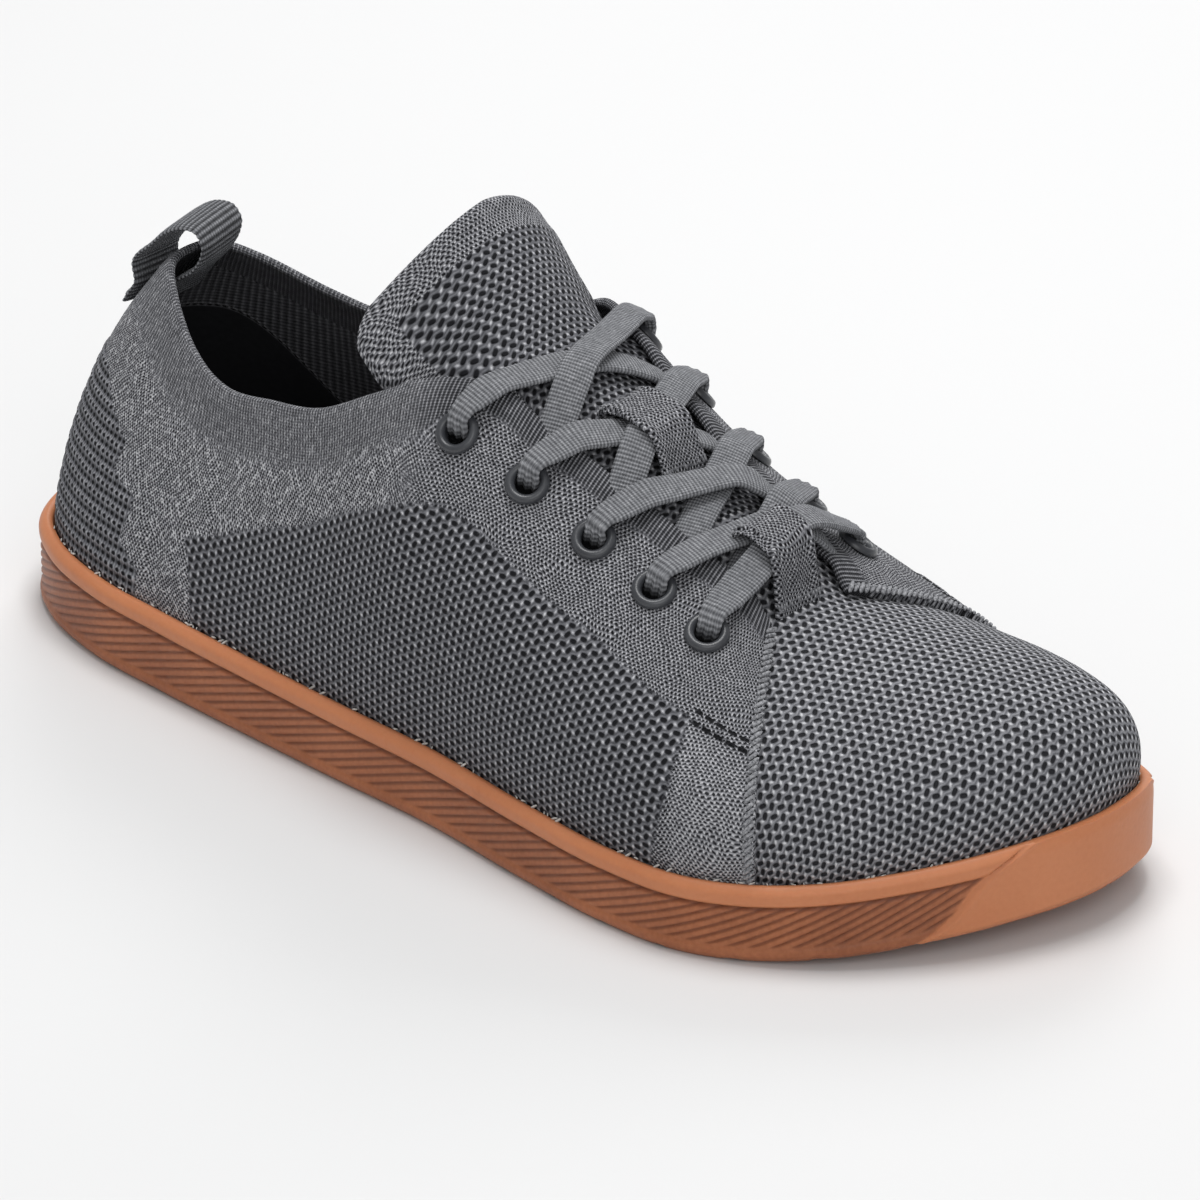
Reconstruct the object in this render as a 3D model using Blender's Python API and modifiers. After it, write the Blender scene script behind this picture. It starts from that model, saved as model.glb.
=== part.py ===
# Barefoot shoe, right foot: a knitted upper in a gum rubber cup sole.
# Metres, +X to the toe, -Y to the outer (lateral) side, +Z up.
# The origin is on the floor, under the middle of the heel pad.
# Lengths along the shoe are measured from the back of the heel.

import math

import bmesh
import bpy
import numpy as np
from mathutils import Matrix, Vector
from mathutils.bvhtree import BVHTree

MM = 0.001

# Whole shoe
LENGTH = 277 * MM
BALL_WIDTH = 110 * MM
HEEL_WIDTH = 79 * MM
INSTEP_HEIGHT = 91 * MM
COLLAR_HEIGHT = 81.5 * MM
VAMP_HEIGHT = 56 * MM
TOE_SPRING = 8 * MM
CLEARANCE = 0.3 * MM
HEEL_CENTRE = 39 * MM

# Sole
SOLE_HEEL_HEIGHT = 19 * MM
SOLE_BALL_HEIGHT = 17 * MM
FOOTBED_HEIGHT = 6 * MM
CUP_WALL = 3.2 * MM
GROOVE_WIDTH = 2.4 * MM
GROOVE_DEPTH = 1.0 * MM
GROOVE_PITCH = 15 * MM
BALL_GROOVES_START = 0.62
BALL_GROOVES = 5
HEEL_GROOVES_START = 0.06
HEEL_GROOVES = 3
TOE_TIP_SIDE_SHARE = 0.18
TOE_LIFT_START = 0.80
WALL_EVEN_SHARE = 0.7
BAND_FADE_START = 0.88
BAND_FADE_LENGTH = 0.06
SMOOTH_SIDE_SHARE = 0.08
CUP_LIP_SHARE = 0.97

# Upper
UPPER_WALL = 2.0 * MM
QUARTER_STEP = 2.2 * MM
SEAM_STATION = 0.765
SEAM_GAP = 0.012
LAP = 0.012
VAMP_ARCH = 1.6 * MM
HEEL_LEAN = 32 * MM
THROAT_HALF_WIDTH = 12 * MM
CORNER_STATION = 0.488
COLLAR_RISE_START = 0.27
COLLAR_RISE_LENGTH = 0.20
VAMP_FALL_START = 0.60
VAMP_FALL_LENGTH = 0.165
THROAT_START = 0.44
THROAT_LENGTH = 0.09

# Insole and tongue
INSOLE_THICKNESS = 3.0 * MM
TONGUE_THICKNESS = 2.0 * MM
TONGUE_HEIGHT = 116 * MM
TONGUE_WIDTH = 70 * MM
TONGUE_CURVE_RADIUS = 28 * MM
TONGUE_TUCK = 5.5 * MM
TONGUE_DROP = 1.8 * MM
TONGUE_COLUMNS = 10
TONGUE_MARGIN = 1.0 * MM
TONGUE_TUCK_LENGTH = 0.08
TONGUE_THROAT_ROWS = 9

# Eyelets and lace
EYELETS_PER_SIDE = 5
EYELET_FIRST_STATION = 0.484
EYELET_LAST_STATION = 0.690
EYELET_FIRST_INSET = 11.5 * MM
EYELET_LAST_INSET = 14.5 * MM
EYELET_RADIUS = 4.7 * MM
EYELET_BORE_RADIUS = 2.6 * MM
EYELET_WALL = 0.5 * MM
EYELET_CROWN = 1.3 * MM
EYELET_SEGMENTS = 16
EYELET_BARREL_SHARE = 0.7
EYELET_EDGE_RADIUS = 0.3 * MM
EYELET_EDGE_HEIGHT = 0.4 * MM
EYELET_LIP_SHARE = 0.75
LACE_WIDTH = 7.5 * MM
LACE_THICKNESS = 1.6 * MM
LACE_SINK = 0.3 * MM
LACE_DIVE = 2.2 * MM
LACE_STEPS = 14
LACE_BAR_STEPS = 22

# Tongue loops and pull tab
LOOP_WIDTH = 13 * MM
LOOP_THICKNESS = 1.2 * MM
LOOP_LENGTH = 13 * MM
LOOP_FOOT = 2.5 * MM
LOOP_STEPS = 10
TAB_WIDTH = 14 * MM
TAB_THICKNESS = 1.4 * MM
TAB_RISE = 6.5 * MM
TAB_REACH = 10 * MM
TAB_LEG = 20 * MM
TAB_FREE = 14 * MM
TAB_INNER_TOP = 4 * MM
TAB_INNER_LENGTH = 8 * MM
TAB_INNER_GAP = 1.9 * MM
TAB_STEPS = 33

# Mesh density
SIDE_COLUMNS = 40
QUARTER_COLUMNS = 31
VAMP_COLUMNS = 25
UPPER_ROWS = 11

# Outline of the sole, seen from above.
# along: share of LENGTH; lateral, medial: shares of the width there.
OUTLINE_COLUMNS = ("along", "lateral", "medial")
OUTLINE = (
    (0.036, 0.325, 0.320),
    (0.073, 0.415, 0.405),
    (0.145, 0.500, 0.485),
    (0.225, 0.530, 0.495),
    (0.327, 0.510, 0.470),
    (0.429, 0.438, 0.425),
    (0.527, 0.425, 0.438),
    (0.636, 0.462, 0.486),
    (0.727, 0.484, 0.510),
    (0.793, 0.473, 0.512),
    (0.844, 0.423, 0.497),
    (0.895, 0.334, 0.474),
    (0.938, 0.212, 0.430),
    (0.975, 0.065, 0.365),
)

# Side of the sole, bottom to top.
# height: share of the wall's height; inset: share of CUP_WALL;
# band: 1 where the inset belongs to the sunk band, which fades at the toe.
SOLE_SIDE_COLUMNS = ("height", "inset", "band")
SOLE_SIDE = (
    (0.00, 0.70, 0),
    (0.05, 0.36, 0),
    (0.22, 0.16, 0),
    (0.24, 0.42, 1),
    (0.63, 0.34, 1),
    (0.66, 0.50, 1),
    (0.70, 0.14, 0),
    (0.82, 0.00, 0),
    (0.94, 0.12, 0),
    (1.00, 0.52, 0),
)

# Rim of the quarters, from the heel to the front of the throat.
# station: share of the way round one side of the sole, heel to toe tip;
# along: share of LENGTH; half: share of HEEL_WIDTH; height: share of INSTEP_HEIGHT;
# rise, bulge, crown: handles of the wall's curve, as shares of its chord;
# slope: degrees that the wall still climbs where it meets the rim.
QUARTER_TABLE_COLUMNS = ("station", "along", "half", "height", "rise", "bulge", "crown", "slope")
QUARTER_TABLE = (
    (0.000, 0.000, 0.000, 1.000, 0.26, 0.00, 0.39, 44),
    (0.060, 0.006, 0.095, 0.991, 0.26, -0.02, 0.38, 47),
    (0.120, 0.029, 0.171, 0.951, 0.25, -0.03, 0.34, 55),
    (0.200, 0.080, 0.272, 0.865, 0.26, -0.02, 0.30, 64),
    (0.270, 0.127, 0.323, 0.829, 0.32, 0.02, 0.30, 72),
    (0.330, 0.182, 0.352, 0.838, 0.36, 0.04, 0.30, 70),
    (0.385, 0.247, 0.371, 0.853, 0.38, 0.05, 0.30, 62),
    (0.430, 0.309, 0.372, 0.933, 0.40, 0.05, 0.32, 54),
    (0.460, 0.353, 0.338, 0.990, 0.42, 0.05, 0.34, 46),
    (0.488, 0.393, 0.272, 1.000, 0.42, 0.05, 0.36, 38),
    (0.530, 0.444, 0.234, 0.929, 0.42, 0.06, 0.40, 32),
    (0.590, 0.516, 0.192, 0.826, 0.40, 0.07, 0.42, 27),
    (0.640, 0.571, 0.172, 0.756, 0.40, 0.08, 0.44, 24),
    (0.700, 0.622, 0.158, 0.687, 0.38, 0.09, 0.46, 22),
    (0.765, 0.649, 0.152, 0.615, 0.36, 0.09, 0.48, 20),
)

# Side curve of the vamp's ribs, from the seam to the toe tip.
# share: way from the seam to the tip; the rest as in the quarters' table.
VAMP_TABLE_COLUMNS = ("share", "rise", "bulge", "crown", "slope")
VAMP_TABLE = (
    (0.0, 0.36, 0.09, 0.48, 20),
    (1.0, 0.42, 0.06, 0.48, 12),
)

# Free top of the tongue, above the last row of lacing.
# back, height: shares of the tongue's free rise; half: share of TONGUE_WIDTH;
# lean: degrees that the sheet's face turns forward from straight up;
# curl: how far its edges fall behind its middle, as a share of the half width.
TONGUE_TOP_COLUMNS = ("back", "height", "half", "lean", "curl")
TONGUE_TOP = (
    (0.27, 0.27, 0.34, 28, 0.50),
    (0.59, 0.55, 0.455, 36, 0.50),
    (0.86, 0.78, 0.43, 42, 0.44),
    (1.04, 0.92, 0.34, 45, 0.33),
    (1.12, 0.98, 0.22, 45, 0.22),
)

# Pull tab in side view, past the heel rim.
# forward, up: shares of TAB_REACH and TAB_RISE from the middle of the rim.
TAB_ARCH_COLUMNS = ("forward", "up")
TAB_ARCH = (
    (-1.04, -0.72),
    (-0.56, 0.18),
    (-0.06, 0.97),
    (0.42, 1.32),
    (0.82, 1.32),
    (1.00, 1.02),
    (0.95, 0.50),
    (0.76, 0.02),
)


def column(table, names, name):
    """One named column of a table, as an array."""
    place = names.index(name)
    return np.array([row[place] for row in table], dtype=float)


def follow(knots, values, at):
    """Smooth curve through the values at the knots, read at the given places."""
    knots = np.asarray(knots, dtype=float)
    values = np.asarray(values, dtype=float)
    steps = np.diff(knots)
    rises = np.diff(values) / steps
    slopes = np.empty_like(values)
    slopes[0] = rises[0]
    slopes[-1] = rises[-1]
    slopes[1:-1] = (rises[:-1] * steps[1:] + rises[1:] * steps[:-1]) / (steps[:-1] + steps[1:])
    at = np.clip(np.asarray(at, dtype=float), knots[0], knots[-1])
    cell = np.clip(np.searchsorted(knots, at, side="right") - 1, 0, len(steps) - 1)
    width = steps[cell]
    share = (at - knots[cell]) / width
    square = share * share
    cube = square * share
    return (
        (2 * cube - 3 * square + 1) * values[cell]
        + (cube - 2 * square + share) * width * slopes[cell]
        + (3 * square - 2 * cube) * values[cell + 1]
        + (cube - square) * width * slopes[cell + 1]
    )


def ease(share):
    """Smooth step from 0 to 1."""
    share = np.clip(share, 0.0, 1.0)
    return share * share * (3 - 2 * share)


def local_width(along):
    """Width that the outline's shares belong to: heel width behind, ball width in front."""
    blend = ease((along - 0.25) / 0.25)
    return HEEL_WIDTH * (1 - blend) + BALL_WIDTH * blend


def outline_loop():
    """Dense closed outline, heel centre first, then lateral side, toe tip, medial side."""
    along = column(OUTLINE, OUTLINE_COLUMNS, "along")
    width = local_width(along)
    lateral = np.c_[along * LENGTH, -column(OUTLINE, OUTLINE_COLUMNS, "lateral") * width]
    medial = np.c_[along * LENGTH, column(OUTLINE, OUTLINE_COLUMNS, "medial") * width]
    tip = np.array([[LENGTH, TOE_TIP_SIDE_SHARE * BALL_WIDTH]])
    heel = np.array([[0.0, 0.0]])
    ring = np.vstack([heel, lateral, tip, medial[::-1]])
    wrapped = np.vstack([ring[-3:], ring, ring[:4]])
    travel = np.r_[0, np.cumsum(np.linalg.norm(np.diff(wrapped, axis=0), axis=1))]
    first = travel[3]
    last = travel[3 + len(ring)]
    tip_place = travel[3 + 1 + len(lateral)]
    lateral_at = np.linspace(first, tip_place, 300)
    medial_at = np.linspace(last, tip_place, 300)
    sides = []
    for at in (lateral_at, medial_at):
        sides.append(np.c_[follow(travel, wrapped[:, 0], at), follow(travel, wrapped[:, 1], at)])
    return sides


LATERAL_SIDE, MEDIAL_SIDE = outline_loop()


def side_points(side, stations, inset):
    """Points of the outline at shares of its length, moved inwards by the inset."""
    line = LATERAL_SIDE if side < 0 else MEDIAL_SIDE
    travel = np.r_[0, np.cumsum(np.linalg.norm(np.diff(line, axis=0), axis=1))]
    at = np.abs(np.asarray(stations, dtype=float)) * travel[-1]
    step = travel[-1] / 400
    points = np.c_[np.interp(at, travel, line[:, 0]), np.interp(at, travel, line[:, 1])]
    ahead = np.c_[np.interp(at + step, travel, line[:, 0]), np.interp(at + step, travel, line[:, 1])]
    behind = np.c_[np.interp(at - step, travel, line[:, 0]), np.interp(at - step, travel, line[:, 1])]
    way = ahead - behind
    way[at <= step] = (0, side)
    way[at >= travel[-1] - step] = (0, -side)
    way /= np.linalg.norm(way, axis=1)[:, None]
    outward = np.c_[way[:, 1], -way[:, 0]] * (-side)
    return points - outward * np.asarray(inset, dtype=float).reshape(-1, 1), outward


def floor_lift(x):
    """Height of the sole's underside over the floor: flat, then rising to the toe."""
    share = np.clip((np.asarray(x) / LENGTH - TOE_LIFT_START) / (1 - TOE_LIFT_START), 0, 1)
    return TOE_SPRING * share**2


def wall_height(x):
    """Height of the sole's side over its underside."""
    blend = ease(np.asarray(x) / LENGTH / WALL_EVEN_SHARE)
    return SOLE_HEEL_HEIGHT * (1 - blend) + SOLE_BALL_HEIGHT * blend


def material(name, colour, roughness, metallic=0.0):
    made = bpy.data.materials.new(name)
    made.use_nodes = True
    shader = made.node_tree.nodes["Principled BSDF"]
    shader.inputs["Base Color"].default_value = (*colour, 1.0)
    shader.inputs["Roughness"].default_value = roughness
    shader.inputs["Metallic"].default_value = metallic
    return made


def mesh_object(name, vertices, faces, finish, collection):
    """A closed solid from its vertices and faces, with its faces pointing out."""
    mesh = bpy.data.meshes.new(name)
    mesh.from_pydata([tuple(point) for point in vertices], [], faces)
    shape = bmesh.new()
    shape.from_mesh(mesh)
    bmesh.ops.remove_doubles(shape, verts=shape.verts, dist=1e-6)
    bmesh.ops.recalc_face_normals(shape, faces=shape.faces)
    shape.to_mesh(mesh)
    shape.free()
    mesh.shade_smooth()
    mesh.set_sharp_from_angle(angle=math.radians(40))
    mesh.materials.append(finish)
    made = bpy.data.objects.new(name, mesh)
    collection.objects.link(made)
    return made


def sheet_solid(name, outer, inner, closed, finish, collection):
    """Closed solid between an outer and an inner grid of points, [column][row]."""
    columns, rows = outer.shape[:2]
    vertices = np.vstack([outer.reshape(-1, 3), inner.reshape(-1, 3)])
    second = columns * rows
    faces = []
    for one in range(columns if closed else columns - 1):
        two = (one + 1) % columns
        for row in range(rows - 1):
            a, b = one * rows + row, two * rows + row
            faces.append((a, b, b + 1, a + 1))
            faces.append((second + a, second + a + 1, second + b + 1, second + b))
        low_a, low_b = one * rows, two * rows
        top_a, top_b = low_a + rows - 1, low_b + rows - 1
        faces.append((low_a, second + low_a, second + low_b, low_b))
        faces.append((top_a, top_b, second + top_b, second + top_a))
    if not closed:
        for one, flip in ((0, False), (columns - 1, True)):
            for row in range(rows - 1):
                a = one * rows + row
                face = (a, a + 1, second + a + 1, second + a)
                faces.append(face[::-1] if flip else face)
    return mesh_object(name, vertices, faces, finish, collection)


def surface_normals(grid):
    """Unit normals of a grid of points, [column][row]."""
    along = np.gradient(grid, axis=0)
    up = np.gradient(grid, axis=1)
    normals = np.cross(along, up)
    return normals / np.linalg.norm(normals, axis=2)[:, :, None]


def ring_stations(count):
    """Stations round the outline: lateral side out to the tip, then the medial side back."""
    way = np.linspace(0, 1, count + 1)
    return [(-1, share) for share in way] + [(1, share) for share in way[-2:0:-1]]


def ring_at(stations, inset, height):
    """A ring of points round the outline at one inset and height over the underside."""
    points = []
    for index, (side, share) in enumerate(stations):
        depth = inset[index] if np.ndim(inset) else inset
        spot, _ = side_points(side, [share], [depth])
        x, y = spot[0]
        rise = height[index] if np.ndim(height) else height
        points.append((x, y, float(floor_lift(x)) + rise))
    return np.array(points)


def ladder_faces(first, count, up):
    """Faces that close a ring across the shoe, from its lateral to its medial side."""
    faces = []
    total = 2 * count
    for index in range(count):
        lateral = first + index
        lateral_next = first + index + 1
        medial = first + (total - index) % total
        medial_next = first + (total - index - 1) % total
        face = [lateral, lateral_next, medial_next, medial]
        face = list(dict.fromkeys(face))
        faces.append(tuple(face if up else face[::-1]))
    return faces


def make_sole(finish, collection, cutters):
    """Cup sole: outer side with its bead and band, inner wall and footbed."""
    stations = ring_stations(SIDE_COLUMNS)
    base = ring_at(stations, 0.0, 0.0)
    wall = wall_height(base[:, 0])
    fade = 1 - ease((base[:, 0] / LENGTH - BAND_FADE_START) / BAND_FADE_LENGTH)
    rings = []
    sides = [column(SOLE_SIDE, SOLE_SIDE_COLUMNS, name) for name in SOLE_SIDE_COLUMNS]
    for height, inset, band in zip(*sides):
        sunk = SMOOTH_SIDE_SHARE + (inset - SMOOTH_SIDE_SHARE) * fade
        share = sunk if band else np.full(len(base), inset)
        rings.append(ring_at(stations, share * CUP_WALL, height * wall))
    rings.append(ring_at(stations, CUP_WALL, wall * CUP_LIP_SHARE))
    rings.append(ring_at(stations, CUP_WALL, FOOTBED_HEIGHT))
    count = len(stations)
    vertices = np.vstack(rings)
    faces = []
    for level in range(len(rings) - 1):
        for index in range(count):
            a = level * count + index
            b = level * count + (index + 1) % count
            faces.append((a, b, b + count, a + count))
    faces += ladder_faces(0, SIDE_COLUMNS, up=False)
    faces += ladder_faces((len(rings) - 1) * count, SIDE_COLUMNS, up=True)
    sole = mesh_object("outsole", vertices, faces, finish, collection)
    cut_flex_grooves(sole, cutters)
    return sole


def cut_flex_grooves(sole, cutters):
    """Shallow grooves across the underside, under the ball and under the heel."""
    groups = ((BALL_GROOVES_START, BALL_GROOVES), (HEEL_GROOVES_START, HEEL_GROOVES))
    for share, count in groups:
        for index in range(count):
            x = share * LENGTH + index * GROOVE_PITCH
            mesh = bpy.data.meshes.new("groove_cutter")
            shape = bmesh.new()
            size = Matrix.Diagonal((GROOVE_WIDTH, 2 * BALL_WIDTH, 2 * GROOVE_DEPTH, 1))
            bmesh.ops.create_cube(shape, size=1.0, matrix=Matrix.Translation((x, 0, 0)) @ size)
            shape.to_mesh(mesh)
            shape.free()
            cut_with(sole, mesh, cutters)


def cut_with(target, mesh, cutters):
    """Cuts a mesh out of an object with an exact Boolean."""
    cutter = bpy.data.objects.new(mesh.name, mesh)
    cutters.objects.link(cutter)
    cutter.hide_render = True
    cutter.display_type = "WIRE"
    cut = target.modifiers.new("cut", "BOOLEAN")
    cut.operation = "DIFFERENCE"
    cut.object = cutter


def quarter_values(name, stations):
    """A column of the quarter table, read at signed stations, even about the heel."""
    knots = column(QUARTER_TABLE, QUARTER_TABLE_COLUMNS, "station")
    values = column(QUARTER_TABLE, QUARTER_TABLE_COLUMNS, name)
    mirror = -1 if name == "half" else 1
    both_knots = np.r_[-knots[:0:-1], knots]
    both_values = np.r_[mirror * values[:0:-1], values]
    return follow(both_knots, both_values, stations)


def quarter_rim(stations):
    """Points of the quarters' rim at signed stations, plus for the lateral side."""
    climb = quarter_values("height", stations)
    share = np.abs(stations)
    high = COLLAR_HEIGHT + (INSTEP_HEIGHT - COLLAR_HEIGHT) * ease((share - COLLAR_RISE_START) / COLLAR_RISE_LENGTH)
    forward = ease((share - VAMP_FALL_START) / VAMP_FALL_LENGTH)
    top = climb * high
    top = top + forward * (VAMP_HEIGHT - QUARTER_TABLE[-1][3] * INSTEP_HEIGHT)
    x = HEEL_LEAN + quarter_values("along", stations) * LENGTH
    throat = THROAT_HALF_WIDTH / (QUARTER_TABLE[-1][2] * HEEL_WIDTH)
    scale = 1 + (throat - 1) * ease((share - THROAT_START) / THROAT_LENGTH)
    y = -quarter_values("half", stations) * HEEL_WIDTH * scale
    return np.c_[x, y, top]


def wall_curves(stations, rim, rise, bulge, crown, slope, rows):
    """Columns of the upper's outer surface, from inside the cup to the rim."""
    columns = []
    for index, station in enumerate(stations):
        side = -1 if station >= 0 else 1
        spot, outward = side_points(side, [abs(station)], [CUP_WALL + CLEARANCE])
        x, y = spot[0]
        ground = float(floor_lift(x))
        low = Vector((x, y, ground + FOOTBED_HEIGHT + CLEARANCE))
        start = Vector((x, y, ground + float(wall_height(x)) * CUP_LIP_SHARE))
        end = Vector(rim[index])
        chord = (end - start).length
        flat = Vector((end.x - start.x, end.y - start.y, 0)).normalized()
        angle = math.radians(slope[index])
        arrive = flat * math.cos(angle) + Vector((0, 0, math.sin(angle)))
        away = Vector((outward[0][0], outward[0][1], 0))
        handle = start + Vector((0, 0, rise[index] * chord)) + away * (bulge[index] * chord)
        back = end - arrive * (crown[index] * chord)
        points = [low, low.lerp(start, 0.5), start]
        for step in range(1, rows - 2):
            t = step / (rows - 3)
            s = 1 - t
            points.append(start * s**3 + handle * (3 * s * s * t) + back * (3 * s * t * t) + end * t**3)
        columns.append([tuple(point) for point in points])
    return np.array(columns)


def quarter_grid(stations, rows):
    """Outer surface of the quarters and heel at signed stations."""
    parts = [quarter_values(name, stations) for name in ("rise", "bulge", "crown", "slope")]
    return wall_curves(stations, quarter_rim(stations), *parts, rows)


def vamp_grid(stations, rows):
    """Outer surface of the vamp, one layer below the quarters at the throat."""
    stations = np.asarray(stations, dtype=float)
    corner = quarter_rim(np.array([SEAM_STATION]))[0]
    share = (np.abs(stations) - SEAM_STATION) / (1 - SEAM_STATION)
    share = np.where(stations < 0, 2 - share, share)
    y = corner[1] * (1 - share)
    arch = 1 - (y / corner[1]) ** 2
    rim = np.c_[np.full(len(share), corner[0]), y, corner[2] - QUARTER_STEP + arch * VAMP_ARCH]
    way = 1 - np.abs(1 - share)
    knots = column(VAMP_TABLE, VAMP_TABLE_COLUMNS, "share")
    shape = []
    for name in ("rise", "bulge", "crown", "slope"):
        shape.append(np.interp(way, knots, column(VAMP_TABLE, VAMP_TABLE_COLUMNS, name)))
    return wall_curves(stations, rim, *shape, rows)


def make_upper(finish, collection):
    """Hollow knitted upper: quarters lapped over the vamp, open at collar, throat and below."""
    behind_lap = SEAM_STATION - LAP
    plain = np.linspace(-behind_lap, behind_lap, 2 * QUARTER_COLUMNS + 1)
    quarter_stations = np.r_[-SEAM_STATION, plain, SEAM_STATION]
    first = SEAM_STATION + SEAM_GAP
    lateral = np.linspace(first, 1.0, VAMP_COLUMNS // 2 + 1)
    vamp_stations = np.r_[lateral, -lateral[-2::-1]]
    quarters = quarter_grid(quarter_stations, UPPER_ROWS)
    vamp = vamp_grid(vamp_stations, UPPER_ROWS)
    drop = QUARTER_STEP * np.linspace(0, 1, UPPER_ROWS)
    near_seam = np.zeros(len(quarter_stations))
    near_seam[[0, -1]] = 1.0
    thickness = UPPER_WALL + near_seam[:, None] * drop[None, :]
    inner_quarters = quarters - surface_normals(quarters) * thickness[:, :, None]
    inner_vamp = vamp - surface_normals(vamp) * UPPER_WALL
    outer = np.vstack([quarters, vamp])
    inner = np.vstack([inner_quarters, inner_vamp])
    return sheet_solid("upper", outer, inner, True, finish, collection)


def clear_scene():
    for old in list(bpy.data.objects):
        bpy.data.objects.remove(old, do_unlink=True)


def make_collection(name):
    made = bpy.data.collections.new(name)
    bpy.context.scene.collection.children.link(made)
    return made


def make_insole(finish, collection):
    """Flat insole inside the upper's foot, on the footbed."""
    stations = ring_stations(SIDE_COLUMNS // 2)
    inset = CUP_WALL + UPPER_WALL + 2 * CLEARANCE
    low = ring_at(stations, inset, FOOTBED_HEIGHT + CLEARANCE)
    high = ring_at(stations, inset, FOOTBED_HEIGHT + CLEARANCE + INSOLE_THICKNESS)
    count = len(stations)
    faces = []
    for index in range(count):
        after = (index + 1) % count
        faces.append((index, after, after + count, index + count))
    faces += ladder_faces(0, SIDE_COLUMNS // 2, up=False)
    faces += ladder_faces(count, SIDE_COLUMNS // 2, up=True)
    return mesh_object("insole", np.vstack([low, high]), faces, finish, collection)


def rib(station):
    """One column of the quarter's outer surface, rim last, with its unit normals."""
    step = 0.004
    grid = quarter_grid(np.array([station - step, station, station + step]), 60)
    return grid[1], surface_normals(grid)[1]


def rib_spot(station, down, rise):
    """Point on the quarter a distance down from the rim, raised off it, and the normal."""
    points, normals = rib(station)
    travel = np.r_[0, np.cumsum(np.linalg.norm(np.diff(points[::-1], axis=0), axis=1))]
    spot = np.array([np.interp(down, travel, points[::-1, axis]) for axis in range(3)])
    normal = np.array([np.interp(down, travel, normals[::-1, axis]) for axis in range(3)])
    normal = normal / np.linalg.norm(normal)
    return Vector(spot + normal * rise), Vector(normal)


def tongue_rows():
    """Middle point, half width, facing and edge fall of the tongue's rows, front to top."""
    behind_lap = SEAM_STATION - 2 * LAP
    throat = np.linspace(behind_lap - LAP, CORNER_STATION, TONGUE_THROAT_ROWS)
    stations = np.r_[SEAM_STATION, behind_lap, throat]
    rims = quarter_rim(stations)
    slopes = np.radians(quarter_values("slope", stations))
    rows = []
    for index, (x, y, z) in enumerate(rims):
        edge = abs(y)
        front = index < 2
        share = float(ease((stations[index] - CORNER_STATION) / TONGUE_TUCK_LENGTH))
        front_share = min(1.0, (SEAM_STATION - stations[index]) / (5 * LAP))
        tuck = TONGUE_TUCK * share * front_share + TONGUE_MARGIN
        half = THROAT_HALF_WIDTH - UPPER_WALL if front else edge + tuck
        drop = UPPER_WALL / math.cos(slopes[index]) + TONGUE_DROP
        back = UPPER_WALL / 2 + CLEARANCE if index == 0 else 0.0
        middle = z - drop + edge * edge / (2 * TONGUE_CURVE_RADIUS)
        rows.append((x - back, middle, half, 0.0, half * half / (2 * TONGUE_CURVE_RADIUS)))
    x, z = rows[-1][0], rows[-1][1]
    rise = TONGUE_HEIGHT - z
    top = [column(TONGUE_TOP, TONGUE_TOP_COLUMNS, name) for name in TONGUE_TOP_COLUMNS]
    for back, height, half, lean, curl in zip(*top):
        half = half * TONGUE_WIDTH
        rows.append((x - back * rise, z + height * rise, half, math.radians(lean), half * curl))
    return rows


def make_tongue(finish, collection):
    """Curved knitted tongue, tucked under the quarters and flared above them."""
    grid = []
    shares = np.linspace(-1, 1, TONGUE_COLUMNS + 1)
    rows = tongue_rows()
    for share in shares:
        line = []
        for x, z, half, lean, fall in rows:
            y = share * half
            sag = fall * share * share
            line.append((x - sag * math.sin(lean), y, z - sag * math.cos(lean)))
        grid.append(line)
    outer = np.array(grid)
    normals = surface_normals(outer)
    if normals[TONGUE_COLUMNS // 2][0][2] < 0:
        normals = -normals
    inner = outer - normals * TONGUE_THICKNESS
    inner[:, 0, 0] = outer[:, 0, 0]
    return sheet_solid("tongue", outer, inner, False, finish, collection)


def eyelet_places():
    """Station, place and facing of each eyelet, lateral row first."""
    stations = np.linspace(EYELET_FIRST_STATION, EYELET_LAST_STATION, EYELETS_PER_SIDE)
    places = []
    insets = np.linspace(EYELET_FIRST_INSET, EYELET_LAST_INSET, EYELETS_PER_SIDE)
    for side, name in ((1, "lateral"), (-1, "medial")):
        for index, station in enumerate(stations):
            spot, normal = rib_spot(side * station, insets[index], 0.0)
            places.append((name, index + 1, side * station, spot, normal))
    return places


def eyelet_profile():
    """Section of a rolled eyelet: barrel through the wall, rounded flange on top."""
    under = CLEARANCE
    bore = EYELET_BORE_RADIUS
    rim = bore + EYELET_WALL
    top = EYELET_CROWN + CLEARANCE
    middle = (EYELET_RADIUS + bore) / 2
    barrel = -EYELET_BARREL_SHARE * UPPER_WALL
    return (
        (bore, barrel),
        (rim, barrel),
        (rim, under),
        (EYELET_RADIUS - EYELET_EDGE_RADIUS, under),
        (EYELET_RADIUS, under + EYELET_EDGE_HEIGHT),
        (middle, top),
        (bore + EYELET_EDGE_RADIUS, top * EYELET_LIP_SHARE),
        (bore, under),
    )


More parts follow.
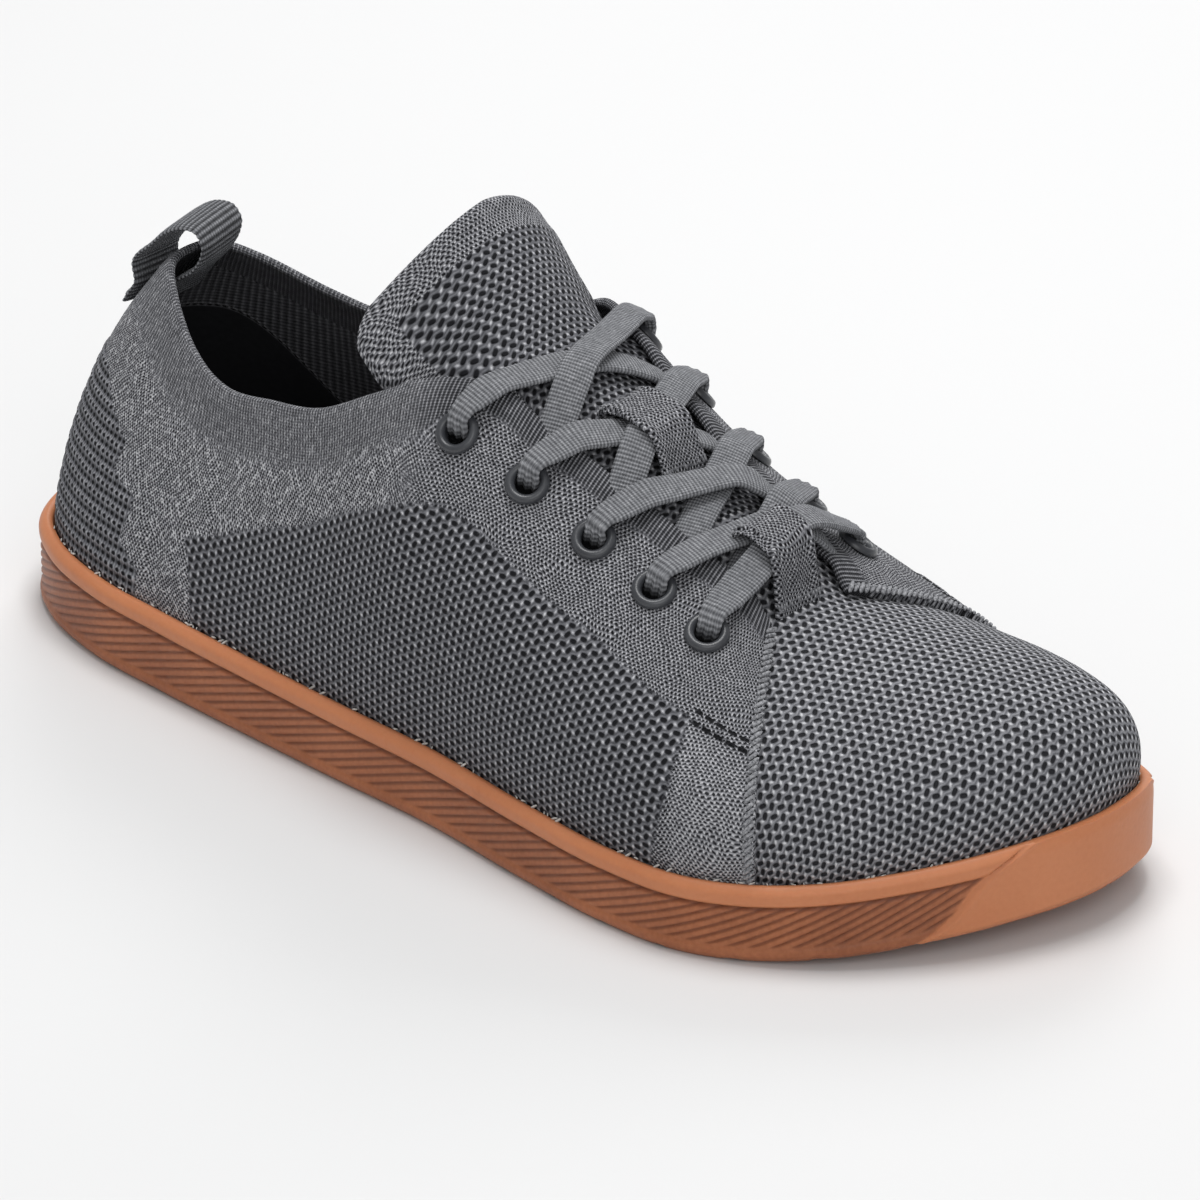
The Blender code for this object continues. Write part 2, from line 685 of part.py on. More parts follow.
def make_eyelets(finish, collection):
    """Ten turned eyelets on the quarters."""
    profile = eyelet_profile()[::-1]
    edges = [(spot, (spot + 1) % len(profile)) for spot in range(len(profile))]
    section = bpy.data.meshes.new("eyelet_section")
    section.from_pydata([(radius, 0, height) for radius, height in profile], edges, [])
    section.materials.append(finish)
    made = []
    for name, number, _, spot, normal in eyelet_places():
        ring = bpy.data.objects.new(f"eyelet_{name}_{number}", section)
        ring.rotation_euler = normal.to_track_quat("Z", "X").to_euler()
        ring.location = spot
        turned = ring.modifiers.new("turn", "SCREW")
        turned.axis = "Z"
        turned.steps = EYELET_SEGMENTS
        turned.render_steps = EYELET_SEGMENTS
        turned.use_merge_vertices = True
        turned.merge_threshold = 1e-5
        turned.use_smooth_shade = True
        collection.objects.link(ring)
        made.append(ring)
    return made


def punch_eyelet_holes(upper, cutters):
    """Round holes through the quarters for the eyelets' barrels."""
    for name, number, _, spot, normal in eyelet_places():
        mesh = bpy.data.meshes.new(f"punch_{name}_{number}")
        shape = bmesh.new()
        turn = normal.to_track_quat("Z", "X").to_matrix().to_4x4()
        bmesh.ops.create_cone(
            shape,
            cap_ends=True,
            segments=EYELET_SEGMENTS,
            radius1=EYELET_BORE_RADIUS + EYELET_WALL + CLEARANCE,
            radius2=EYELET_BORE_RADIUS + EYELET_WALL + CLEARANCE,
            depth=6 * UPPER_WALL,
            matrix=Matrix.Translation(spot) @ turn,
        )
        shape.to_mesh(mesh)
        shape.free()
        cut_with(upper, mesh, cutters)


def tree_of(shape):
    """Search tree of an object's evaluated mesh in world space."""
    bpy.context.view_layer.update()
    graph = bpy.context.evaluated_depsgraph_get()
    seen = shape.evaluated_get(graph)
    mesh = seen.to_mesh()
    points = [shape.matrix_world @ vertex.co for vertex in mesh.vertices]
    tree = BVHTree.FromPolygons(points, [tuple(face.vertices) for face in mesh.polygons])
    seen.to_mesh_clear()
    return tree


def top_height(trees, x, y, spread, way):
    """Highest surface under a short stretch of a strip."""
    best = None
    for shift in (-1, -0.5, 0, 0.5, 1):
        start = Vector((x + shift * spread * way[0], y + shift * spread * way[1], 1.0))
        for tree in trees:
            hit, _, _, _ = tree.ray_cast(start, Vector((0, 0, -1)))
            if hit is not None and (best is None or hit.z > best):
                best = hit.z
    return best


def drape(start, end, width, trees, gap, steps):
    """Left and right edge points of a strip laid over what is under it."""
    start = np.array(start[:2])
    end = np.array(end[:2])
    way = (end - start) / np.linalg.norm(end - start)
    across = np.array([-way[1], way[0]])
    spread = np.linalg.norm(end - start) / steps
    left, right = [], []
    for step in range(steps + 1):
        middle = start + (end - start) * step / steps
        for sign, line in ((1, left), (-1, right)):
            x, y = middle + across * width / 2 * sign
            heights = [top_height(trees, x, y, spread, way)]
            heights.append(top_height(trees, *middle, spread, way))
            known = [height for height in heights if height is not None]
            line.append((x, y, max(known) + gap))
    left, right = np.array(left), np.array(right)
    left[:, 2] = taut(left[:, 2])
    right[:, 2] = taut(right[:, 2])
    return left, right


def taut(heights, rounds=300):
    """Lifts a strip's heights to those of a strip pulled tight over the same points."""
    tight = heights.copy()
    for _ in range(rounds):
        tight[1:-1] = np.maximum(heights[1:-1], (tight[:-2] + tight[2:]) / 2)
    return tight


def strip_solid(name, left, right, thickness, finish, collection):
    """Flat strip between two edge lines, thickened upwards."""
    outer = np.stack([left, right])
    raised = outer + np.array([0, 0, thickness])
    return sheet_solid(name, raised, outer, False, finish, collection)


def lace_ends():
    """Eyelet places by side and number, and rim places where a strand dives."""
    eyelets = {}
    dives = {}
    for name, number, station, spot, _ in eyelet_places():
        eyelets[name, number] = spot
        rim = quarter_rim(np.array([station]))[0]
        inward = -math.copysign(LACE_DIVE, rim[1])
        dives[name, number] = (rim[0], rim[1] + inward)
    return eyelets, dives


def make_laces(upper, tongue, rings, finish, collection):
    """Lace crossings, each two strands joined where they cross, and the bottom bar."""
    trees = [tree_of(upper), tree_of(tongue)] + [tree_of(ring) for ring in rings]
    eyelets, dives = lace_ends()
    gap = 2 * CLEARANCE
    made = []
    for number in range(1, EYELETS_PER_SIDE):
        over_side, under_side = ("lateral", "medial") if number > 2 else ("medial", "lateral")
        under_path = (eyelets[under_side, number], dives[over_side, number + 1])
        lines = drape(*under_path, LACE_WIDTH, trees, gap, LACE_STEPS)
        under = strip_solid("strand", *lines, LACE_THICKNESS, finish, collection)
        over_path = (eyelets[over_side, number], dives[under_side, number + 1])
        lines = drape(*over_path, LACE_WIDTH, trees + [tree_of(under)], gap, LACE_STEPS)
        rest_on(lines, under)
        over = strip_solid(f"lace_cross_{number}", *lines, LACE_THICKNESS, finish, collection)
        join_strands(over, under)
        trees.append(tree_of(over))
        made.append(over)
    ends = (eyelets["lateral", EYELETS_PER_SIDE], eyelets["medial", EYELETS_PER_SIDE])
    lines = drape(*ends, LACE_WIDTH, trees, gap, LACE_BAR_STEPS)
    made.append(strip_solid("lace_bar", *lines, LACE_THICKNESS, finish, collection))
    return made


def rest_on(lines, under):
    """Brings a strand's edges down into the strand that it crosses, so that they join."""
    tree = tree_of(under)
    for line in lines:
        for point in line:
            hit, _, _, _ = tree.ray_cast(Vector((point[0], point[1], 1.0)), Vector((0, 0, -1)))
            if hit is not None:
                point[2] = hit.z - LACE_SINK


def join_strands(over, under):
    """Exact union of two strands into the first, and removal of the second."""
    joint = over.modifiers.new("join", "BOOLEAN")
    joint.operation = "UNION"
    joint.object = under
    bpy.context.view_layer.update()
    graph = bpy.context.evaluated_depsgraph_get()
    joined = bpy.data.meshes.new_from_object(over.evaluated_get(graph))
    over.modifiers.remove(joint)
    over.data = joined
    bpy.data.objects.remove(under, do_unlink=True)


def make_loops(upper, tongue, laces, finish, collection):
    """Two knitted loops on the tongue, one over the second crossing and one over the bar."""
    trees = [tree_of(upper), tree_of(tongue)] + [tree_of(lace) for lace in laces]
    eyelets, _ = lace_ends()
    second = (eyelets["lateral", 2].x + eyelets["lateral", 3].x) / 2
    last = eyelets["lateral", EYELETS_PER_SIDE].x
    for name, x in (("tongue_loop_upper", second), ("tongue_loop_lower", last)):
        reach = LOOP_LENGTH / 2 + LOOP_FOOT
        lines = drape((x - reach, 0), (x + reach, 0), LOOP_WIDTH, trees, 2 * CLEARANCE, LOOP_STEPS)
        strip_solid(name, *lines, LOOP_THICKNESS, finish, collection)


def make_pull_tab(finish, collection):
    """Webbing tab: outer leg on the heel, arch over the rim, inner leg on the lining."""
    off = CLEARANCE + TAB_THICKNESS / 2
    path = []
    for down in np.linspace(TAB_LEG, TAB_FREE, 5):
        spot, _ = rib_spot(0.0, down, off)
        path.append((spot.x, spot.z))
    rim = quarter_rim(np.array([0.0]))[0]
    forward_shares = column(TAB_ARCH, TAB_ARCH_COLUMNS, "forward")
    up_shares = column(TAB_ARCH, TAB_ARCH_COLUMNS, "up")
    for forward, up in zip(forward_shares, up_shares):
        path.append((rim[0] + forward * TAB_REACH, rim[2] + up * TAB_RISE))
    for down in np.linspace(TAB_INNER_TOP, TAB_INNER_TOP + TAB_INNER_LENGTH, 3):
        spot, _ = rib_spot(0.0, down, -UPPER_WALL - off - TAB_INNER_GAP)
        path.append((spot.x, spot.z))
    knots = np.array(path)
    travel = np.r_[0, np.cumsum(np.linalg.norm(np.diff(knots, axis=0), axis=1))]
    at = np.linspace(0, travel[-1], TAB_STEPS + 1)
    line = np.c_[follow(travel, knots[:, 0], at), follow(travel, knots[:, 1], at)]
    way = np.gradient(line, axis=0)
    way /= np.linalg.norm(way, axis=1)[:, None]
    face = np.c_[-way[:, 1], way[:, 0]] * TAB_THICKNESS / 2
    sides = []
    for sign in (1, -1):
        edge = line + sign * face
        sides.append(np.stack([
            np.c_[edge[:, 0], np.full(len(edge), -TAB_WIDTH / 2), edge[:, 1]],
            np.c_[edge[:, 0], np.full(len(edge), TAB_WIDTH / 2), edge[:, 1]],
        ]))
    return sheet_solid("pull_tab", sides[0], sides[1], False, finish, collection)


def set_origin(*collections):
    """Moves everything so that the middle of the heel pad is at the origin."""
    for collection in collections:
        for shape in collection.objects:
            shape.location.x -= HEEL_CENTRE


clear_scene()
shoe = make_collection("barefoot_shoe")
cutter_box = make_collection("cutters")
rubber = material("gum_rubber", (0.42, 0.16, 0.07), 0.55)
knit = material("grey_knit", (0.09, 0.095, 0.10), 0.85)
lining = material("black_lining", (0.01, 0.01, 0.011), 0.9)
painted = material("grey_painted_metal", (0.06, 0.065, 0.07), 0.35, 0.6)
braid = material("grey_braid", (0.13, 0.135, 0.14), 0.8)
make_sole(rubber, shoe, cutter_box)
upper_shell = make_upper(knit, shoe)
make_insole(lining, shoe)
tongue_sheet = make_tongue(knit, shoe)
eyelet_rings = make_eyelets(painted, shoe)
lace_strips = make_laces(upper_shell, tongue_sheet, eyelet_rings, braid, shoe)
punch_eyelet_holes(upper_shell, cutter_box)
make_loops(upper_shell, tongue_sheet, lace_strips, knit, shoe)
make_pull_tab(braid, shoe)
set_origin(shoe, cutter_box)
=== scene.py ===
# Barefoot shoe, right foot: knitted grey upper in a gum rubber cup sole.
# Metres, +X to the toe, -Y to the outer side, +Z up, origin under the heel pad.

import math

import bmesh
import bpy
import numpy as np
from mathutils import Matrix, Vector
from mathutils.bvhtree import BVHTree


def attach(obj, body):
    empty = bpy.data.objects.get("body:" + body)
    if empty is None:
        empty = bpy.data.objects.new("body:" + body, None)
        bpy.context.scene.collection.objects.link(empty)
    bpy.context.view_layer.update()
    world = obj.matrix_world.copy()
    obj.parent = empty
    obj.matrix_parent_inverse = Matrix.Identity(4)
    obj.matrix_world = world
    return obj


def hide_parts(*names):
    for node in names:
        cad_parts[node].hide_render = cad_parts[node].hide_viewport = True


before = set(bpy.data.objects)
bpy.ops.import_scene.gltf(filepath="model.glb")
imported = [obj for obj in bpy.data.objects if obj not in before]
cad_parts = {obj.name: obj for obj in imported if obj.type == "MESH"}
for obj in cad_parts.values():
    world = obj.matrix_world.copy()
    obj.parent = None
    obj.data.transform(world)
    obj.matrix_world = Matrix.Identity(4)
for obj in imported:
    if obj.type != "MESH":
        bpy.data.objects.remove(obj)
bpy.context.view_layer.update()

# Camera
# The view from above the outer side of the toe, far back, so that the lines stay nearly parallel.
VIEW_TURN = math.radians(43)
VIEW_TILT = math.radians(26.5)
VIEW_DISTANCE = 2.0
VIEW_MIDDLE = Vector((0.11324, 0.0001, 0.040))
VIEW_DROP = 0.010 / 4.8
PIXELS_PER_METRE = 4800
FRAME_PIXELS = 1200
SENSOR = 36.0

view_back = Vector((
    math.sin(VIEW_TURN) * math.cos(VIEW_TILT),
    -math.cos(VIEW_TURN) * math.cos(VIEW_TILT),
    math.sin(VIEW_TILT),
))
view_right = Vector((math.cos(VIEW_TURN), math.sin(VIEW_TURN), 0))
view_up = view_back.cross(view_right)
camera = bpy.data.objects.new("camera", bpy.data.cameras.new("camera"))
camera.data.sensor_width = SENSOR
camera.data.lens = SENSOR * PIXELS_PER_METRE * VIEW_DISTANCE / FRAME_PIXELS
camera.location = VIEW_MIDDLE - view_up * VIEW_DROP + view_back * VIEW_DISTANCE
camera.rotation_euler = view_back.to_track_quat("Z", "Y").to_euler()
camera.data.clip_end = 20
bpy.context.scene.collection.objects.link(camera)
bpy.context.scene.camera = camera

# Studio
# A pale floor, a pale surrounding light and soft panels from above, behind and in front.
FLOOR_SIZE = 6.0
FLOOR_COLOUR = (0.755, 0.755, 0.755, 1)
AIR_COLOUR = (0.97, 0.975, 0.98, 1)
AIR_STRENGTH = 0.42
PANELS = {
    "panel_top": ((0.05, 0.10, 1.25), 0.6, 9.5),
    "panel_back": ((-0.5, 0.95, 0.95), 0.6, 6.0),
    "panel_front": ((1.0, -0.7, 0.8), 0.8, 4.2),
}
bpy.context.scene.view_settings.view_transform = "Standard"


def plain_material(name, colour, roughness):
    made = bpy.data.materials.new(name)
    made.use_nodes = True
    shader = made.node_tree.nodes["Principled BSDF"]
    shader.inputs["Base Color"].default_value = colour
    shader.inputs["Roughness"].default_value = roughness
    return made


floor_shape = bmesh.new()
bmesh.ops.create_grid(floor_shape, x_segments=1, y_segments=1, size=FLOOR_SIZE / 2)
floor_mesh = bpy.data.meshes.new("floor")
floor_shape.to_mesh(floor_mesh)
floor_shape.free()
floor_mesh.materials.append(plain_material("pale_floor", FLOOR_COLOUR, 0.75))
floor = bpy.data.objects.new("floor", floor_mesh)
bpy.context.scene.collection.objects.link(floor)
air = bpy.data.worlds.new("air")
air.use_nodes = True
air.node_tree.nodes["Background"].inputs["Color"].default_value = AIR_COLOUR
air.node_tree.nodes["Background"].inputs["Strength"].default_value = AIR_STRENGTH
bpy.context.scene.world = air
for panel_name, (spot, size, watts) in PANELS.items():
    lamp = bpy.data.lights.new(panel_name, "AREA")
    lamp.size = size
    lamp.energy = watts
    panel = bpy.data.objects.new(panel_name, lamp)
    panel.location = spot
    panel.rotation_euler = (Vector(spot) - VIEW_MIDDLE).to_track_quat("Z", "Y").to_euler()
    bpy.context.scene.collection.objects.link(panel)

# Outsole
# One moulded gum rubber cup: a rounded bead above, a sunk band of fine slanting ribs,
# a smooth lower strip, and a plain bumper in front of an S-shaped edge at the toe.
MM = 0.001
LENGTH = 277 * MM
BALL_WIDTH = 110 * MM
HEEL_WIDTH = 79 * MM
HEEL_CENTRE = 39 * MM
TOE_SPRING = 8 * MM
CLEARANCE = 0.3 * MM
SOLE_HEEL_HEIGHT = 19 * MM
SOLE_BALL_HEIGHT = 17 * MM
FOOTBED_HEIGHT = 6 * MM
CUP_WALL = 3.2 * MM
TOE_TIP_SIDE_SHARE = 0.18
TOE_LIFT_START = 0.80
WALL_EVEN_SHARE = 0.7
SOLE_COLUMNS = 480
WALL_ROWS = 64
UNDERSIDE_ROWS = 44
FOOT_ROUND = 1.6 * MM
FOOT_ROUND_HEIGHT = 2.2 * MM
BEAD_HEIGHT = 4.3 * MM
BEAD_TUCK = 1.3 * MM
BEAD_POWER = 2.4
BEAD_ABOVE = 1.15
BEAD_BELOW = 0.30
STRIP_HEIGHT = 3.4 * MM
STRIP_EDGE = 0.5 * MM
STRIP_LINE_SHARE = 0.6
STRIP_LINE_WIDTH = 0.28 * MM
BAND_DEPTH = 0.30 * MM
LINE_DEPTH = 0.55 * MM
LINE_WIDTH = 0.42 * MM
RIB_PITCH = 1.95 * MM
RIB_DEPTH = 0.40 * MM
RIB_SHARPNESS = 1.7
RIB_FADE = 0.7 * MM
RIB_SLOPE_HEEL = 0.36
RIB_SLOPE_TOE = 0.44
RIB_TURN_START = 0.15
RIB_TURN_REACH = 0.75
BUMPER_TOP_STATION = 0.935
BUMPER_FOOT_STATION = 0.862
BUMPER_POWER = 1.15
BUMPER_BEND = 0.006
BUMPER_EDGE = 0.006
BUMPER_INSET = 0.25 * MM
BUMPER_TOP_INSET = 0.5 * MM
BUMPER_TOP_HEIGHT = 4 * MM
BUMPER_LIP = 0.35 * MM
BUMPER_LIP_PLACE = 0.004
BUMPER_LIP_WIDTH = 0.003
BUMPER_CREASE = 0.5 * MM
BUMPER_CREASE_WIDTH = 0.0022
# Painted shade in the rubber's colour: below the bead, deeper in the rib grooves and in the line under
# the bead, and over the underside.
BAND_PAINTED_SHADE = 0.58
GROOVE_PAINTED_SHADE = 0.70
LINE_PAINTED_SHADE = 0.8
PAINTED_SHADE_EDGE = 0.4 * MM
UNDERSIDE_PAINTED_SHADE = 0.6
CUP_STEPS = ((0.62, 1.0), (0.9, 0.985), (1.0, 0.95), (1.0, 0.6))
FLEX_GROOVES = (16.6, 31.6, 46.6, 60.9, 158.6, 171.7, 186.7, 201.7, 216.7, 231.7, 246.7, 259.0)
FLEX_DEPTH = 1.4 * MM
FLEX_WIDTH = 1.1 * MM
FLEX_REACH = 1.8 * MM
WAVE_DEPTH = 0.35 * MM
WAVE_LENGTH = 2.1 * MM
WAVE_BEND = 2
WAVE_BEND_LENGTH = 9 * MM
WAVE_MARGIN = 4
WIDTH_BLEND_START = 0.25
WIDTH_BLEND_REACH = 0.25
OUTLINE_WRAP = 3
OUTLINE_POINTS = 300
OUTLINE_STEPS = 400
OUTLINE_COLUMNS = ("along", "lateral", "medial")
OUTLINE = (
    (0.036, 0.325, 0.320),
    (0.073, 0.415, 0.405),
    (0.145, 0.500, 0.485),
    (0.225, 0.530, 0.495),
    (0.327, 0.510, 0.470),
    (0.429, 0.438, 0.425),
    (0.527, 0.425, 0.438),
    (0.636, 0.462, 0.486),
    (0.727, 0.484, 0.510),
    (0.793, 0.473, 0.512),
    (0.844, 0.423, 0.497),
    (0.895, 0.334, 0.474),
    (0.938, 0.212, 0.430),
    (0.975, 0.065, 0.365),
)


def column(table, names, name):
    """One named column of a table, as an array."""
    place = names.index(name)
    return np.array([row[place] for row in table], dtype=float)


def follow(knots, values, at):
    """Smooth curve through the values at the knots, read at the given places."""
    knots = np.asarray(knots, dtype=float)
    values = np.asarray(values, dtype=float)
    steps = np.diff(knots)
    rises = np.diff(values) / steps
    slopes = np.empty_like(values)
    slopes[0] = rises[0]
    slopes[-1] = rises[-1]
    slopes[1:-1] = (rises[:-1] * steps[1:] + rises[1:] * steps[:-1]) / (steps[:-1] + steps[1:])
    at = np.clip(np.asarray(at, dtype=float), knots[0], knots[-1])
    cell = np.clip(np.searchsorted(knots, at, side="right") - 1, 0, len(steps) - 1)
    width = steps[cell]
    share = (at - knots[cell]) / width
    square = share * share
    cube = square * share
    return (
        (2 * cube - 3 * square + 1) * values[cell]
        + (cube - 2 * square + share) * width * slopes[cell]
        + (3 * square - 2 * cube) * values[cell + 1]
        + (cube - square) * width * slopes[cell + 1]
    )


def ease(share):
    """Smooth step from 0 to 1."""
    share = np.clip(share, 0.0, 1.0)
    return share * share * (3 - 2 * share)


def bell(distance, width):
    """Smooth bump of height 1 about 0."""
    return np.exp(-((distance / width) ** 2))


def line_travel(points):
    """Distance gone along a line of points."""
    return np.r_[0, np.cumsum(np.linalg.norm(np.diff(points, axis=0), axis=1))]


def follow_line(travel, points, at):
    """Smooth curve through the points of a line, read at distances along it."""
    return np.stack([follow(travel, values, at) for values in points.T], axis=-1)


def read_line(travel, points, at):
    """Straight stretches between the points of a line, read at distances along it."""
    return np.stack([np.interp(at, travel, values) for values in points.T], axis=-1)


def local_width(along):
    """Width that the outline's shares belong to: heel width behind, ball width in front."""
    blend = ease((along - WIDTH_BLEND_START) / WIDTH_BLEND_REACH)
    return HEEL_WIDTH * (1 - blend) + BALL_WIDTH * blend


def outline_loop():
    """Dense outline of both sides, from the heel's middle to the toe tip."""
    along = column(OUTLINE, OUTLINE_COLUMNS, "along")
    width = local_width(along)
    lateral = np.c_[along * LENGTH, -column(OUTLINE, OUTLINE_COLUMNS, "lateral") * width]
    medial = np.c_[along * LENGTH, column(OUTLINE, OUTLINE_COLUMNS, "medial") * width]
    tip = np.array([[LENGTH, TOE_TIP_SIDE_SHARE * BALL_WIDTH]])
    ring = np.vstack([np.zeros((1, 2)), lateral, tip, medial[::-1]])
    wrapped = np.vstack([ring[-OUTLINE_WRAP:], ring, ring[:OUTLINE_WRAP + 1]])
    travel = line_travel(wrapped)
    first = travel[OUTLINE_WRAP]
    last = travel[OUTLINE_WRAP + len(ring)]
    tip_place = travel[OUTLINE_WRAP + 1 + len(lateral)]
    sides = []
    for start in (first, last):
        sides.append(follow_line(travel, wrapped, np.linspace(start, tip_place, OUTLINE_POINTS)))
    return sides


LATERAL_SIDE, MEDIAL_SIDE = outline_loop()


def side_points(side, stations, inset):
    """Points of the outline at shares of its length, moved inwards by the inset."""
    line = LATERAL_SIDE if side < 0 else MEDIAL_SIDE
    travel = line_travel(line)
    at = np.abs(np.asarray(stations, dtype=float)) * travel[-1]
    step = travel[-1] / OUTLINE_STEPS
    points = read_line(travel, line, at)
    way = read_line(travel, line, at + step) - read_line(travel, line, at - step)
    way[at <= step] = (0, side)
    way[at >= travel[-1] - step] = (0, -side)
    way /= np.linalg.norm(way, axis=1)[:, None]
    outward = np.c_[way[:, 1], -way[:, 0]] * (-side)
    return points - outward * np.asarray(inset, dtype=float).reshape(-1, 1), outward


def floor_lift(x):
    """Height of the sole's underside over the floor: flat, then rising to the toe."""
    share = np.clip((np.asarray(x) / LENGTH - TOE_LIFT_START) / (1 - TOE_LIFT_START), 0, 1)
    return TOE_SPRING * share**2


def wall_height(x):
    """Height of the sole's side over its underside."""
    blend = ease(np.asarray(x) / LENGTH / WALL_EVEN_SHARE)
    return SOLE_HEEL_HEIGHT * (1 - blend) + SOLE_BALL_HEIGHT * blend


def mesh_piece(name, points, faces, layers=None, marks=None, smooth_angle=40):
    """A finished mesh in the shoe's frame, with its UV layers and point attributes."""
    mesh = bpy.data.meshes.new(name)
    points = np.asarray(points, dtype=float) - np.array([HEEL_CENTRE, 0, 0])
    mesh.from_pydata([tuple(point) for point in points], [], [tuple(face) for face in faces])
    corner = np.empty(len(mesh.loops), dtype=np.int32)
    mesh.loops.foreach_get("vertex_index", corner)
    for layer_name, values in (layers or {}).items():
        layer = mesh.uv_layers.new(name=layer_name)
        layer.data.foreach_set("uv", np.asarray(values, dtype=np.float32)[corner].ravel())
    for mark_name, values in (marks or {}).items():
        mark = mesh.attributes.new(mark_name, "FLOAT", "POINT")
        mark.data.foreach_set("value", np.asarray(values, dtype=np.float32))
    mesh.shade_smooth()
    mesh.set_sharp_from_angle(angle=math.radians(smooth_angle))
    made = bpy.data.objects.new(name, mesh)
    bpy.context.scene.collection.objects.link(made)
    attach(made, "root")
    return made


def grid_faces(columns, rows, closed, first=0, flip=False):
    """Faces between neighbouring columns of points, [column][row]."""
    faces = []
    for one in range(columns if closed else columns - 1):
        two = (one + 1) % columns
        for row in range(rows - 1):
            a = first + one * rows + row
            b = first + two * rows + row
            face = (a, a + 1, b + 1, b) if flip else (a, b, b + 1, a + 1)
            faces.append(face)
    return faces


def sole_side(stations, base):
    """Inset, height and painted shade of the outer side at every column and row."""
    wall = wall_height(base[:, 0])[:, None]
    share = np.linspace(0, 1, WALL_ROWS)[None, :]
    height = share * wall
    from_top = wall - height
    edge = FOOT_ROUND * (1 - np.clip(height / FOOT_ROUND_HEIGHT, 0, 1)) ** 2
    bead_middle = BEAD_HEIGHT / 2
    bead = BEAD_TUCK * np.clip((np.abs(from_top - bead_middle) / bead_middle), 0, 1) ** BEAD_POWER
    bead = np.where(from_top < bead_middle, bead * BEAD_ABOVE, bead * BEAD_BELOW)
    in_bead = from_top < BEAD_HEIGHT
    way = stations[:, None]
    s_curve = BUMPER_FOOT_STATION + (BUMPER_TOP_STATION - BUMPER_FOOT_STATION) * share**BUMPER_POWER
    s_curve = s_curve + BUMPER_BEND * np.sin(share * 2 * math.pi)
    sunk = ease((s_curve - way) / BUMPER_EDGE)
    in_band = (height > STRIP_HEIGHT) & ~in_bead
    band = BAND_DEPTH * ease((height - STRIP_HEIGHT) / STRIP_EDGE) * in_band
    turned = ease((stations - RIB_TURN_START) / RIB_TURN_REACH)
    slope = RIB_SLOPE_HEEL + (RIB_SLOPE_TOE - RIB_SLOPE_HEEL) * turned
    climb = np.r_[0, np.cumsum(0.5 * (slope[1:] + slope[:-1]) * np.diff(line_travel(base)))]
    phase = (height - climb[:, None]) / RIB_PITCH
    rib = np.abs(2 * (phase - np.floor(phase)) - 1)
    fade = ease((height - STRIP_HEIGHT) / RIB_FADE) * ease((from_top - BEAD_HEIGHT) / RIB_FADE)
    groove = (1 - ease(rib * RIB_SHARPNESS)) * fade * in_band
    band = band + RIB_DEPTH * groove
    under_bead = bell(from_top - BEAD_HEIGHT - LINE_WIDTH / 2, LINE_WIDTH)
    over_strip = STRIP_LINE_SHARE * bell(height - STRIP_HEIGHT, STRIP_LINE_WIDTH)
    line = LINE_DEPTH * (under_bead + over_strip)
    toward_top = ease((BUMPER_TOP_HEIGHT - from_top) / BUMPER_TOP_HEIGHT)
    smooth = BUMPER_INSET + BUMPER_TOP_INSET * toward_top**2
    bumper_lip = BUMPER_LIP * bell((way - s_curve) - BUMPER_LIP_PLACE, BUMPER_LIP_WIDTH)
    inset = np.where(in_bead, bead, band) + line
    inset = inset * sunk + smooth * (1 - sunk) - bumper_lip * (1 - sunk)
    above_foot = ease((height - 1 * MM) / (2 * MM))
    crease = BUMPER_CREASE * bell(way - s_curve, BUMPER_CREASE_WIDTH) * above_foot
    # Painted shade: the side below the bead is darker, more so in the rib grooves and in the line under
    # the bead, and not on the bumper.
    below = ease((from_top - BEAD_HEIGHT + PAINTED_SHADE_EDGE) / (2 * PAINTED_SHADE_EDGE)) * sunk
    dark = below * (BAND_PAINTED_SHADE + GROOVE_PAINTED_SHADE * groove) + LINE_PAINTED_SHADE * under_bead * sunk
    return inset + edge + crease, height, dark


